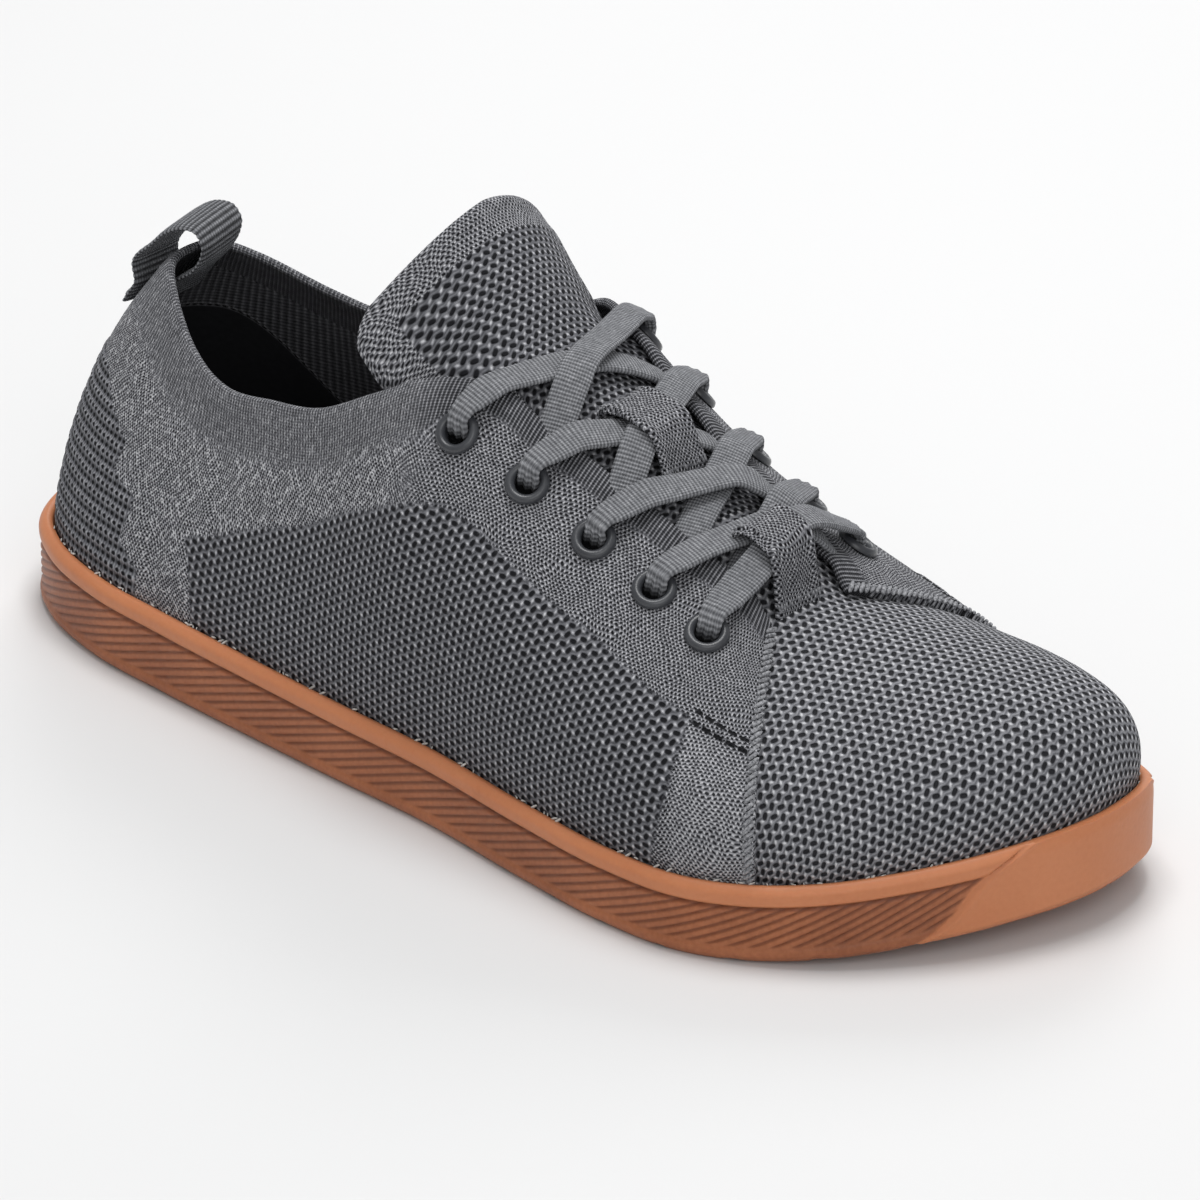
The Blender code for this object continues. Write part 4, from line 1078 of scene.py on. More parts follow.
def heel_knit(across, up):
    """Raised ribs across the back of the heel, with small holes between them."""
    ridge = up.wave(HEEL_RIB_PITCH)
    cell = (across / 1.9).fraction() - 0.5
    course = (up / (HEEL_RIB_PITCH / 2)).fraction() - 0.5
    hole = (cell * cell + course * course).root().step(0.18, 0.40)
    fine = across.wave(0.85)
    height = ridge * 0.5 + hole * 0.5
    tone = hole * (ridge * 0.28 + fine * 0.18 + 0.27)
    return height, tone


KNIT_TONES = (
    (0.00, (0.003, 0.003, 0.004)),
    (0.25, (0.044, 0.045, 0.051)),
    (0.50, (0.150, 0.152, 0.166)),
    (0.75, (0.345, 0.348, 0.370)),
    (1.00, (0.600, 0.603, 0.625)),
)
LINING_TONES = (
    (0.00, (0.004, 0.004, 0.005)),
    (0.50, (0.088, 0.088, 0.096)),
    (1.00, (0.240, 0.240, 0.256)),
)


def knit_finish(tree, shader, height, tone, tones=KNIT_TONES, depth=0.0007):
    """Yarn colour, melange, sheen and relief from a height and a tone."""
    melange = noise(tree, object_place(tree), 700.0, 2.0)
    shade = tone * (melange * 0.7 + 0.65)
    tree.links.new(ramp(tree, shade, tones), shader.inputs["Base Color"])
    shader.inputs["Sheen Weight"].default_value = 0.03
    shader.inputs["Sheen Roughness"].default_value = 0.45
    shader.inputs["Specular IOR Level"].default_value = 0.10
    raise_surface(tree, shader, height, depth)


def knit_of_quarters():
    """The knitted zones of the quarters, one material."""
    made, tree, shader = blank_material("knit_quarters", 0.78)
    across, up = layer_place(tree, "knit")
    rim, down = layer_place(tree, "edge")
    lean = math.radians(29)
    along_row = across * math.cos(lean) + up * math.sin(lean)
    bend = (across * (math.pi / 150)).sine() * 2.2
    over_row = up * math.cos(lean) - across * math.sin(lean) + bend
    height, tone = lozenge_knit(tree, across, up)
    dense_height, dense_tone = dense_knit(tree, across, up)
    front = mark_value(tree, "eyestay").step(-12.0, 6.0)
    height = height.mix(dense_height, front)
    tone = tone.mix(dense_tone, front)
    back_height, back_tone = heel_knit(across, up)
    heel = mark_value(tree, "heel_ribs").step(-0.7, 0.7)
    height = height.mix(back_height, heel)
    tone = tone.mix(back_tone, heel)
    mesh_height, mesh_tone = open_mesh_knit(along_row, over_row, 2.5, 1.68)
    mesh = mark_value(tree, "open_mesh").step(-1.1, 0.9)
    height = height.mix(mesh_height, mesh)
    tone = tone.mix(mesh_tone + 0.02, mesh)
    in_panel = mark_value(tree, "front_panel").step(-0.5, 2.0)
    from_dashes = mark_value(tree, "dash_rows")
    dash = (across * (2 * math.pi / 2.9)).sine().step(-0.85, -0.35)
    dashes = (from_dashes.size() - 1.25).size().step(0.62, 0.25) * dash * in_panel
    below_dashes = from_dashes.step(3.0, -7.0) * in_panel
    height = height - dashes * 0.8
    tone = (tone + below_dashes * 0.11 + 0.02) * (dashes * -0.92 + 1)
    rib_height, rib_tone = ribbed_knit(rim, down)
    eyestay = mark_value(tree, "eyestay")
    width = eyestay.step(-4.0, 4.0, 12.0, 5.5)
    crisp = eyestay.step(-6.0, 2.0, 0.16, 0.45)
    band = ((down - width) * crisp).step(0.5, -0.5)
    height = height.mix(rib_height, band)
    ribbed = eyestay.step(-6.0, 2.0, 0.65, 1.0)
    paler = eyestay.step(-6.0, 2.0, 0.14, 0.0)
    tone = tone.mix(rib_tone + paler, band * ribbed)
    # Painted shade: the knit inside each eyelet's punched pit is black, standing for the shaded hole
    # through the eyestay.
    outside_bore = mark_value(tree, "bore").step(0.8, 0.3)
    knit_finish(tree, shader, height, tone * outside_bore)
    return made


def knit_of_lining():
    """Dark lining, ribbed down from the collar, and plain black below a thin edge at the heel."""
    made, tree, shader = blank_material("knit_lining", 0.88)
    across, up = layer_place(tree, "knit")
    rim, down = layer_place(tree, "edge")
    wale = across.wave(2.1)
    stitch = up.wave(1.1)
    band_height, band_tone = ribbed_knit(rim, down)
    band = down.step(8.3, 7.7)
    height = (wale * 0.8 + stitch * 0.2).mix(band_height, band)
    tone = (wale * 0.32 + stitch * 0.12 + 0.26).mix(band_tone * 0.6 + 0.15, band)
    from_edge = up - across.step(22.0, 70.0, 46.0, 14.0)
    knitted = from_edge.step(-0.4, 0.4)
    height = height * knitted
    tone = tone * knitted + from_edge.size().step(0.8, 0.3) * 0.55 + 0.10
    knit_finish(tree, shader, height, tone, LINING_TONES)
    return made


def line_inside(piece, finish):
    """Gives the lining finish to the faces whose points are marked as lining."""
    mesh = piece.data
    mesh.materials.append(finish)
    lining = np.empty(len(mesh.vertices), dtype=np.float32)
    mesh.attributes["lining"].data.foreach_get("value", lining)
    for face in mesh.polygons:
        if all(lining[point] > 0.5 for point in face.vertices):
            face.material_index = len(mesh.materials) - 1


quarter_points, quarter_faces, quarter_layers, quarter_marks = make_quarters()
quarters = mesh_piece("quarters", quarter_points, quarter_faces, quarter_layers, quarter_marks)
quarters.data.materials.append(knit_of_quarters())
line_inside(quarters, knit_of_lining())
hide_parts("upper")

# Upper: vamp
# The open knitted front, from under the quarters over the toes to the sole, carried on
# under the lacing as the root of the tongue.
VAMP_ARCH = 1.6 * MM
VAMP_COLUMNS = 300
VAMP_ROWS = 120
VAMP_UNDERLAP = 0.030
VAMP_UNDER_SHARE = 1.35
VAMP_SEAM_REACH = 0.025
VAMP_SEAM_INSET = 1.3 * MM
VAMP_THICKNESS = 1.4 * MM
THROAT_ROWS = 26
THROAT_REACH = 24 * MM
THROAT_SETTLE = 0.45
THROAT_RISE = 0.36
VAMP_LINING_ROWS = 14
VAMP_TABLE_COLUMNS = ("share", "rise", "bulge", "crown", "slope")
VAMP_TABLE = (
    (0.0, 0.36, 0.09, 0.48, 20),
    (1.0, 0.42, 0.06, 0.48, 12),
)
TONGUE_HEIGHT = 116 * MM
TONGUE_WIDTH = 70 * MM
TONGUE_CURVE_RADIUS = 28 * MM
TONGUE_TUCK = 5.5 * MM
TONGUE_DROP = 1.8 * MM
TONGUE_THICKNESS = 2.0 * MM
LAP = 0.012
TONGUE_TUCKED_ROWS = 9
TONGUE_TOP_COLUMNS = ("back", "height", "half", "lean", "curl")
TONGUE_TOP = (
    (0.24, 0.28, 0.370, 26, 0.88),
    (0.53, 0.58, 0.392, 28, 1.02),
    (0.79, 0.84, 0.400, 30, 1.03),
    (0.98, 1.01, 0.400, 31, 0.98),
    (1.08, 1.11, 0.385, 31, 0.92),
)
TONGUE_DRIFT = -2.0 * MM
TONGUE_MEDIAL_SAG = 0.70
TONGUE_CORNER = 7.0 * MM
TONGUE_END_SHARE = 0.74


def tongue_rows():
    """Middle point, half width, facing and edge fall of the tongue's rows, front to top."""
    under = np.linspace(SEAM_STATION - 3 * LAP, CORNER_STATION, TONGUE_TUCKED_ROWS)
    stations = np.r_[SEAM_STATION, SEAM_STATION - 2 * LAP, under]
    rims = quarter_rim(stations)
    slopes = np.radians(quarter_values("slope", stations))
    rows = []
    for index, (x, y, z) in enumerate(rims):
        edge = abs(y)
        share = float(ease((stations[index] - CORNER_STATION) / 0.08))
        front_share = min(1.0, (SEAM_STATION - stations[index]) / (5 * LAP))
        tuck = TONGUE_TUCK * share * front_share + 1.0 * MM
        half = THROAT_HALF_WIDTH - UPPER_WALL if index < 2 else edge + tuck
        drop = UPPER_WALL / math.cos(slopes[index]) + TONGUE_DROP
        middle = z - drop + edge * edge / (2 * TONGUE_CURVE_RADIUS)
        rows.append((x, middle, half, 0.0, half * half / (2 * TONGUE_CURVE_RADIUS)))
    x, z = rows[-1][0], rows[-1][1]
    rise = TONGUE_HEIGHT - z
    top = [column(TONGUE_TOP, TONGUE_TOP_COLUMNS, name) for name in TONGUE_TOP_COLUMNS]
    for back, height, half, lean, curl in zip(*top):
        half = half * TONGUE_WIDTH
        rows.append((x - back * rise, z + height * rise, half, math.radians(lean), half * curl))
    return np.array(rows)


def make_vamp():
    """Closed mesh of the vamp with its throat root, its layers and its zone marks."""
    shares = np.linspace(0, 1, VAMP_COLUMNS // 2 + 1)
    first = SEAM_STATION - VAMP_UNDERLAP
    lateral = first + (1 - first) * shares
    stations = np.r_[lateral, -lateral[-2::-1]]
    corner = quarter_rim(np.array([SEAM_STATION]))[0]
    edge = corner[1] * VAMP_UNDER_SHARE
    spread_share = np.r_[shares, 2 - shares[-2::-1]]
    y = edge * (1 - spread_share)
    arch = 1 - (y / corner[1]) ** 2
    rim = np.c_[np.full(len(y), corner[0]), y, corner[2] - QUARTER_STEP + arch * VAMP_ARCH]
    way = 1 - np.abs(1 - spread_share)
    knots = column(VAMP_TABLE, VAMP_TABLE_COLUMNS, "share")
    shape = []
    for name in ("rise", "bulge", "crown", "slope"):
        shape.append(np.interp(way, knots, column(VAMP_TABLE, VAMP_TABLE_COLUMNS, name)))
    near_seam = 1 - ease((np.abs(stations) - SEAM_STATION) / VAMP_SEAM_REACH)
    inset = CUP_WALL + CLEARANCE + VAMP_SEAM_INSET * near_seam
    outer, _ = wall_curves(stations, rim, *shape, np.linspace(0, 1, VAMP_ROWS), inset)
    rows = tongue_rows()[:2 + TONGUE_TUCKED_ROWS]
    rows = rows[np.argsort(rows[:, 0])]
    back = np.linspace(0, 1, THROAT_ROWS + 1)[1:]
    patch = []
    for share in back:
        x = corner[0] - share * THROAT_REACH
        middle = np.interp(x, rows[:, 0], rows[:, 1])
        half = np.interp(x, rows[:, 0], rows[:, 2])
        wide = np.abs(edge) + (half - np.abs(edge)) * ease(share)
        across = y / np.abs(edge) * wide
        settle = float(ease(share / THROAT_SETTLE))
        level = middle - across**2 / (2 * TONGUE_CURVE_RADIUS)
        arched = rim[:, 2] + (corner[0] - x) * THROAT_RISE
        patch.append(np.c_[np.full(len(y), x), across, arched * (1 - settle) + level * settle])
    outer = np.concatenate([outer, np.stack(patch, axis=1)], axis=1)
    normals = surface_normals(outer)
    lengths = travelled(outer)
    at_rim = lengths[:, VAMP_ROWS + 1:VAMP_ROWS + 2]
    fan = outer[:, 2] - rim
    fan = fan[:, :2] / np.linalg.norm(fan[:, :2], axis=1)[:, None]
    reach = at_rim - lengths
    flat = rim[:, None, :2] / MM + fan[:, None, :] * reach[:, :, None]
    behind = np.arange(outer.shape[1]) > VAMP_ROWS + 1
    flat[:, behind] = np.stack([outer[:, behind, 0] / MM, outer[:, behind, 1] / MM], axis=2)
    flat[:, behind, 0] = rim[:, None, 0] / MM + reach[:, behind]
    inside = outer - normals * VAMP_THICKNESS
    picks = np.linspace(outer.shape[1] - 1, 0, VAMP_LINING_ROWS).round().astype(int)
    loop = np.concatenate([outer, inside[:, picks]], axis=1)
    count = loop.shape[1]
    faces = wrapped_faces(len(stations), count, False)
    for one, flip in ((0, True), (len(stations) - 1, False)):
        for step in range(VAMP_LINING_ROWS - 1):
            face = [one * count + row for row in range(picks[step + 1], picks[step] + 1)]
            face += [one * count + outer.shape[1] + step, one * count + outer.shape[1] + step + 1]
            faces.append(tuple(face[::-1] if flip else face))
    lining = np.zeros((len(stations), count))
    lining[:, outer.shape[1]:] = 1.0
    layer = np.concatenate([flat, flat[:, picks]], axis=1).reshape(-1, 2)
    return loop.reshape(-1, 3), faces, {"knit": layer}, {"lining": lining.ravel()}


def knit_of_vamp():
    """Open mesh of the vamp."""
    made, tree, shader = blank_material("knit_vamp", 0.78)
    forward, across = layer_place(tree, "knit")
    height, tone = open_mesh_knit(across, forward, 2.35, 1.85, 0.32)
    knit_finish(tree, shader, height, tone * 1.10 + 0.09, depth=0.0009)
    return made


vamp_points, vamp_faces, vamp_layers, vamp_marks = make_vamp()
vamp = mesh_piece("vamp", vamp_points, vamp_faces, vamp_layers, vamp_marks)
vamp.data.materials.append(knit_of_vamp())
line_inside(vamp, quarters.data.materials[1])
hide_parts("upper")

# Tongue
# A curved knitted tongue with an open middle and a dense border, flared above the lacing.
TONGUE_COLUMNS_FINE = 110
TONGUE_ROWS_FINE = 190
TONGUE_FRONT = 16 * MM
TONGUE_BORDER = 8.5
TONGUE_SIDE_SCALE = 1.5
TONGUE_SINK = 0.5 * MM
TONGUE_SINK_REACH = 10 * MM
TONGUE_SAG_START = 20 * MM
TONGUE_SAG_REACH = 14 * MM
TONGUE_DRIFT_REACH = 38 * MM
TONGUE_ROLL = 0.55 * MM
TONGUE_ROLL_PLACE = 2.0
TONGUE_ROLL_WIDTH = 1.6
TONGUE_EDGE_ROUND = 1.2
TONGUE_EDGE_LEAST = 0.05 * MM
TONGUE_FREE_SHARE = 0.55
TONGUE_FREE_REACH = 10 * MM


def quarter_round(share):
    """Height of a quarter circle, from 0 at its foot to 1."""
    return np.sqrt(np.clip(1 - (1 - np.clip(share, 0, 1)) ** 2, 0, 1))


def make_tongue():
    """Closed mesh of the tongue, its layers and its zone marks."""
    rows = tongue_rows()
    knots = line_travel(rows[:, :2])
    at = knots[-1] - (knots[-1] - TONGUE_FRONT) * np.linspace(1, 0, TONGUE_ROWS_FINE) ** 1.5
    x, z, half, lean, fall = follow_line(knots, rows, at).T
    to_top = knots[-1] - at
    shares = np.linspace(-1, 1, TONGUE_COLUMNS_FINE + 1)
    half = half * (TONGUE_END_SHARE + (1 - TONGUE_END_SHARE) * quarter_round(to_top / TONGUE_CORNER))
    front_sink = TONGUE_SINK * (1 - ease((at - TONGUE_FRONT) / TONGUE_SINK_REACH))
    across = shares[:, None] * half[None, :]
    bare = ease(1 - (to_top - TONGUE_SAG_START) / TONGUE_SAG_REACH)[None, :] * (shares > 0)[:, None]
    sag = fall[None, :] * shares[:, None] ** 2 * (1 - (1 - TONGUE_MEDIAL_SAG) * bare)
    drift = TONGUE_DRIFT * ease(1 - to_top / TONGUE_DRIFT_REACH)
    outer = np.stack([
        x[None, :] - sag * np.sin(lean)[None, :],
        across - drift[None, :],
        z[None, :] - sag * np.cos(lean)[None, :] - front_sink[None, :],
    ], axis=2)
    normals = surface_normals(outer)
    if normals[TONGUE_COLUMNS_FINE // 2, 0, 2] < 0:
        normals = -normals
    to_side = (half[None, :] - np.abs(across)) / MM
    to_end = np.broadcast_to(to_top[None, :] / MM, to_side.shape)
    to_edge = np.minimum(to_side, to_end)
    roll = TONGUE_ROLL * bell(to_edge - TONGUE_ROLL_PLACE, TONGUE_ROLL_WIDTH)
    thin = TONGUE_THICKNESS / 2 * (1 - quarter_round(to_edge / TONGUE_EDGE_ROUND))
    free = ease((at - TONGUE_FREE_SHARE * knots[-1]) / TONGUE_FREE_REACH)[None, :]
    outer = outer + normals * (roll * free - thin)[:, :, None]
    least = TONGUE_THICKNESS + TONGUE_EDGE_LEAST
    inner = outer - normals * (least + roll * free - 2 * thin)[:, :, None]
    columns, count = outer.shape[:2]
    points = np.vstack([outer.reshape(-1, 3), inner.reshape(-1, 3)])
    second = columns * count
    faces = grid_faces(columns, count, False, 0, True)
    faces += grid_faces(columns, count, False, second)
    rim = list(range(count))
    rim += [one * count + count - 1 for one in range(1, columns)]
    rim += [(columns - 1) * count + row for row in range(count - 2, -1, -1)]
    rim += [one * count for one in range(columns - 2, 0, -1)]
    for a, b in zip(rim, rim[1:] + rim[:1]):
        faces.append((a, b, second + b, second + a))
    flat = np.stack([np.broadcast_to(at / MM, across.shape), across / MM], axis=2).reshape(-1, 2)
    layer = np.vstack([flat, flat])
    from_lateral = np.where(across < 0, to_side * TONGUE_SIDE_SCALE, to_side + TONGUE_BORDER)
    border = (np.minimum(from_lateral, to_end) + TONGUE_BORDER * (1 - free)).ravel()
    return points, faces, {"knit": layer}, {"border": np.r_[border, border]}


def knit_of_tongue():
    """Open knit in the middle of the tongue, dense knit along its free edge."""
    made, tree, shader = blank_material("knit_tongue", 0.8)
    along, across = layer_place(tree, "knit")
    height, tone = open_mesh_knit(across, along, 2.1, 1.55, 0.33)
    dense_height, dense_tone = dense_knit(tree, across, along, 0.95)
    border = mark_value(tree, "border").step(TONGUE_BORDER, TONGUE_BORDER - 0.7)
    knit_finish(tree, shader, height.mix(dense_height, border), tone.mix(dense_tone, border) + 0.05)
    return made


tongue_points, tongue_faces, tongue_layers, tongue_marks = make_tongue()
tongue = mesh_piece("tongue_sheet", tongue_points, tongue_faces, tongue_layers, tongue_marks)
tongue.data.materials.append(knit_of_tongue())
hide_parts("tongue")

# Eyelets
# Ten rolled metal rings, painted dark grey, each with a barrel pressed through the eyestay.
EYELET_RADIUS = 4.7 * MM
EYELET_CROWN = 1.3 * MM
EYELET_CROWN_LIFT = 0.2 * MM
EYELET_EDGE = 0.3 * MM
EYELET_BARREL = 1.4 * MM
EYELET_UNDER = 0.05 * MM
EYELET_SEGMENTS = 56
EYELET_ARC_STEPS = 14


def eyelet_section():
    """Radius and height of a rolled ring: crown from outside to inside, then the barrel."""
    middle = (EYELET_RADIUS + EYELET_BORE_RADIUS) / 2
    half = (EYELET_RADIUS - EYELET_BORE_RADIUS) / 2
    turn = np.linspace(0, math.pi, EYELET_ARC_STEPS)
    crown_height = EYELET_UNDER + EYELET_CROWN_LIFT + EYELET_CROWN * np.sin(turn)
    crown = np.c_[middle + half * np.cos(turn), crown_height]
    outer_wall = EYELET_BORE_RADIUS + EYELET_WALL
    barrel = [
        (EYELET_BORE_RADIUS, -EYELET_BARREL),
        (outer_wall, -EYELET_BARREL),
        (outer_wall, EYELET_UNDER),
        (EYELET_RADIUS - EYELET_EDGE, EYELET_UNDER),
    ]
    return np.vstack([crown, barrel])


def turned_points(section, spot, normal, segments):
    """Points of a section turned about the normal through a spot, [segment][row]."""
    side = np.cross(normal, (0, 0, 1))
    side /= np.linalg.norm(side)
    other = np.cross(normal, side)
    turn = np.linspace(0, 2 * math.pi, segments, endpoint=False)[:, None]
    ring = np.cos(turn) * side + np.sin(turn) * other
    return spot + section[None, :, :1] * ring[:, None, :] + section[None, :, 1:] * normal


def face_outwards(piece):
    """Turns the faces of a closed piece outwards."""
    shape = bmesh.new()
    shape.from_mesh(piece.data)
    bmesh.ops.recalc_face_normals(shape, faces=shape.faces)
    shape.to_mesh(piece.data)
    shape.free()


def painted_metal():
    """Satin dark grey paint with a faint orange peel."""
    made, tree, shader = blank_material("painted_metal", 0.34)
    place = object_place(tree)
    peel = noise(tree, place, 900.0, 2.0)
    cloud = noise(tree, place, 220.0, 2.0)
    colour = ramp(tree, cloud, ((0.3, (0.036, 0.038, 0.044)), (0.7, (0.054, 0.057, 0.064))))
    tree.links.new(colour, shader.inputs["Base Color"])
    shader.inputs["Coat Weight"].default_value = 0.12
    shader.inputs["Coat Roughness"].default_value = 0.35
    raise_surface(tree, shader, peel, 0.00003)
    return made


ring_paint = painted_metal()
eyelet_rings = []
for side_name, number, _, spot, normal in eyelet_places():
    ring_points = turned_points(eyelet_section(), spot, normal, EYELET_SEGMENTS)
    ring_faces = wrapped_faces(EYELET_SEGMENTS, ring_points.shape[1], True)
    ring_name = f"ring_{side_name}_{number}"
    ring_points = ring_points.reshape(-1, 3)
    ring = mesh_piece(ring_name, ring_points, ring_faces, smooth_angle=50)
    ring.data.materials.append(ring_paint)
    face_outwards(ring)
    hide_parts(f"eyelet_{side_name}_{number}")
    eyelet_rings.append(ring)

# Laces
# One flat tubular lace, woven with fine cross ribs. It comes up out of each eyelet, crosses the
# tongue and dives under the far quarter's edge, with a straight bar at the lowest pair.
LACE_WIDTH = 7.5 * MM
LACE_THICKNESS = 1.9 * MM
LACE_DIVE = 3.2 * MM
LACE_LAY_STEPS = 84
LACE_RIB_PITCH = 0.84 * MM
LACE_RIB_STEPS = 5
LACE_RIB_DEPTH = 0.09 * MM
LACE_SECTION_POINTS = 28
LACE_GAP = 0.12 * MM
LACE_NECK = 4.9 * MM
LACE_NECK_LENGTH = 6.5 * MM
LACE_PLEAT = 0.34 * MM
LACE_BOW = 0.9 * MM
LACE_CUT = 3.4 * MM
LACE_RISE = ((0.9, -2.8), (1.1, -1.3), (1.9, 0.5))
LACE_SHADED = 0.8
LACE_LIT = 4.2
RIBBON_SIDE_POWER = 0.6
RIBBON_FACE_POWER = 0.72
RIBBON_SIDE_GROOVE = 0.7
PLEAT_WAVES = 2.5
TAUT_ROUNDS = 400
BEND_ROUNDS = 5
THROAT_SIDE = quarter_rim(np.linspace(CORNER_STATION, SEAM_STATION, 60))
STRAIGHT_DOWN = Vector((0, 0, -1))


def tree_of(piece):
    """Search tree of a finished piece, in the frame of the sizes above."""
    points = [vertex.co + Vector((HEEL_CENTRE, 0, 0)) for vertex in piece.data.vertices]
    return BVHTree.FromPolygons(points, [tuple(face.vertices) for face in piece.data.polygons])


def height_under(trees, x, y):
    """Height of the highest surface at a place, or None."""
    found = [tree.ray_cast(Vector((x, y, 1.0)), STRAIGHT_DOWN)[0] for tree in trees]
    return max((hit.z for hit in found if hit is not None), default=None)


def throat_half(x):
    """Half the throat's width at a place along the shoe."""
    return np.interp(x, THROAT_SIDE[:, 0], np.abs(THROAT_SIDE[:, 1]))


def taut(heights):
    """Heights of a strip pulled tight over the given ones, then eased at its bends."""
    tight = heights.copy()
    for _ in range(TAUT_ROUNDS):
        tight[1:-1] = np.maximum(heights[1:-1], (tight[:-2] + tight[2:]) / 2)
    for _ in range(BEND_ROUNDS):
        tight[1:-1] = (tight[:-2] + 2 * tight[1:-1] + tight[2:]) / 4
    return tight


def lay_strip(start, end, halves, over_sides, inner_trees, side_trees, bow=0.0):
    """Middle line and way across of a strip laid from start to end over what is under it."""
    start, end = np.array(start[:2]), np.array(end[:2])
    way = (end - start) / np.linalg.norm(end - start)
    across = np.array([-way[1], way[0]])
    steps = len(halves)
    lines = {1: [], -1: []}
    for step in range(steps):
        share = step / (steps - 1)
        middle = start + (end - start) * share + across * bow * math.sin(math.pi * share)
        heights = {}
        for place in (-1, -0.5, 0, 0.5, 1):
            x, y = middle + across * halves[step] * place
            side = 1 if y < 0 else -1
            outside = abs(y) > throat_half(x) - 1.0 * MM
            trees = inner_trees + side_trees[side] if outside and side in over_sides else inner_trees
            heights[place] = height_under(trees, x, y)
        for sign, line in lines.items():
            known = [heights[place] for place in (0, 0.5 * sign, sign) if heights[place] is not None]
            line.append((*(middle + across * halves[step] * sign), max(known) if known else line[-1][2]))
    left, right = (np.array(lines[sign]) for sign in (1, -1))
    left[:, 2] = taut(left[:, 2])
    right[:, 2] = taut(right[:, 2])
    return (left + right) / 2, (right - left) / np.linalg.norm(right - left, axis=1)[:, None]


def squared(values, power):
    """Values of -1 to 1 pushed outwards, so that a ring becomes a rounded box."""
    return np.sign(values) * np.abs(values) ** power


def ribbon_rings(middle, across, halves, thickness, pitch, steps, depth, points, pleats, lift):
    """Rings of a flat rounded strip along its middle line, and its place in millimetres."""
    travel = line_travel(middle)
    count = max(8, int(travel[-1] / pitch * steps))
    at = np.linspace(0, travel[-1], count)
    line = follow_line(travel, middle, at)
    side = read_line(travel, across, at)
    half = np.interp(at, travel, halves)
    pleat = np.interp(at, travel, pleats)
    way = np.gradient(line, axis=0)
    way /= np.linalg.norm(way, axis=1)[:, None]
    side -= way * np.sum(side * way, axis=1)[:, None]
    side /= np.linalg.norm(side, axis=1)[:, None]
    normal = np.cross(side, way)
    normal *= np.sign(normal[:, 2].sum())
    turn = np.linspace(0, 2 * math.pi, points, endpoint=False)[None, :]
    wide = squared(np.cos(turn), RIBBON_SIDE_POWER)
    tall = squared(np.sin(turn), RIBBON_FACE_POWER)
    groove = depth * (0.5 - 0.5 * np.cos(at / pitch * 2 * math.pi))[:, None] ** 2
    spread = (half[:, None] - groove * RIBBON_SIDE_GROOVE) * wide
    raised = (thickness / 2 - groove) * tall + lift + thickness / 2
    raised = raised + pleat[:, None] * np.cos(PLEAT_WAVES * math.pi * wide)
    rings = line[:, None] + side[:, None] * spread[:, :, None] + normal[:, None] * raised[:, :, None]
    place = np.stack([half[:, None] * wide, np.broadcast_to(at[:, None], spread.shape)], axis=2) / MM
    return rings, place


def ribbon_piece(name, rings, place, finish, marks=None):
    """Closed strip with capped ends."""
    columns, rows = rings.shape[:2]
    faces = wrapped_faces(columns, rows, False)
    faces.append(tuple(range(rows)))
    faces.append(tuple((columns - 1) * rows + row for row in range(rows)))
    layers = {"knit": place.reshape(-1, 2)}
    made = mesh_piece(name, rings.reshape(-1, 3), faces, layers, marks, 60)
    made.data.materials.append(finish)
    face_outwards(made)
    return made


BRAID_TONES = (
    (0.00, (0.006, 0.006, 0.007)),
    (0.30, (0.120, 0.123, 0.132)),
    (0.65, (0.250, 0.255, 0.270)),
    (1.00, (0.480, 0.486, 0.505)),
)


def woven_lace():
    """Lighter grey lace: a cross rib for each pick, crossed by fine threads along it."""
    made, tree, shader = blank_material("woven_lace", 0.72)
    across, along = layer_place(tree, "knit")
    pitch = LACE_RIB_PITCH / MM
    rib = along.wave(pitch, "COSINE")
    thread = across.wave(0.62)
    fleck = noise(tree, object_place(tree), 1300.0, 2.0)
    tone = (rib * 0.40 + thread * 0.17 + fleck * 0.41) * mark_value(tree, "lit")
    knit_finish(tree, shader, rib * 0.4 + thread * 0.6, tone, BRAID_TONES, 0.00022)
    return made


def rise_from_hole(middle, across, halves, pleats, spot, normal):
    """A strand's line whose first stretch comes up out of the eyelet's hole."""
    away = np.linalg.norm(middle - spot, axis=1)
    kept = int(np.argmax(away > LACE_CUT))
    toward = middle[kept] - spot
    toward = toward - normal * (toward @ normal)
    toward /= np.linalg.norm(toward)
    side = np.cross(normal, toward)
    side *= np.sign(side @ across[kept])
    risen = [spot + (toward * forward + normal * up) * MM for forward, up in LACE_RISE]
    count = len(risen)
    return (
        np.vstack([risen, middle[kept:]]),
        np.vstack([np.tile(side, (count, 1)), across[kept:]]),
        np.r_[np.full(count, halves[0]), halves[kept:]],
        np.r_[np.full(count, pleats[0]), pleats[kept:]],
    )


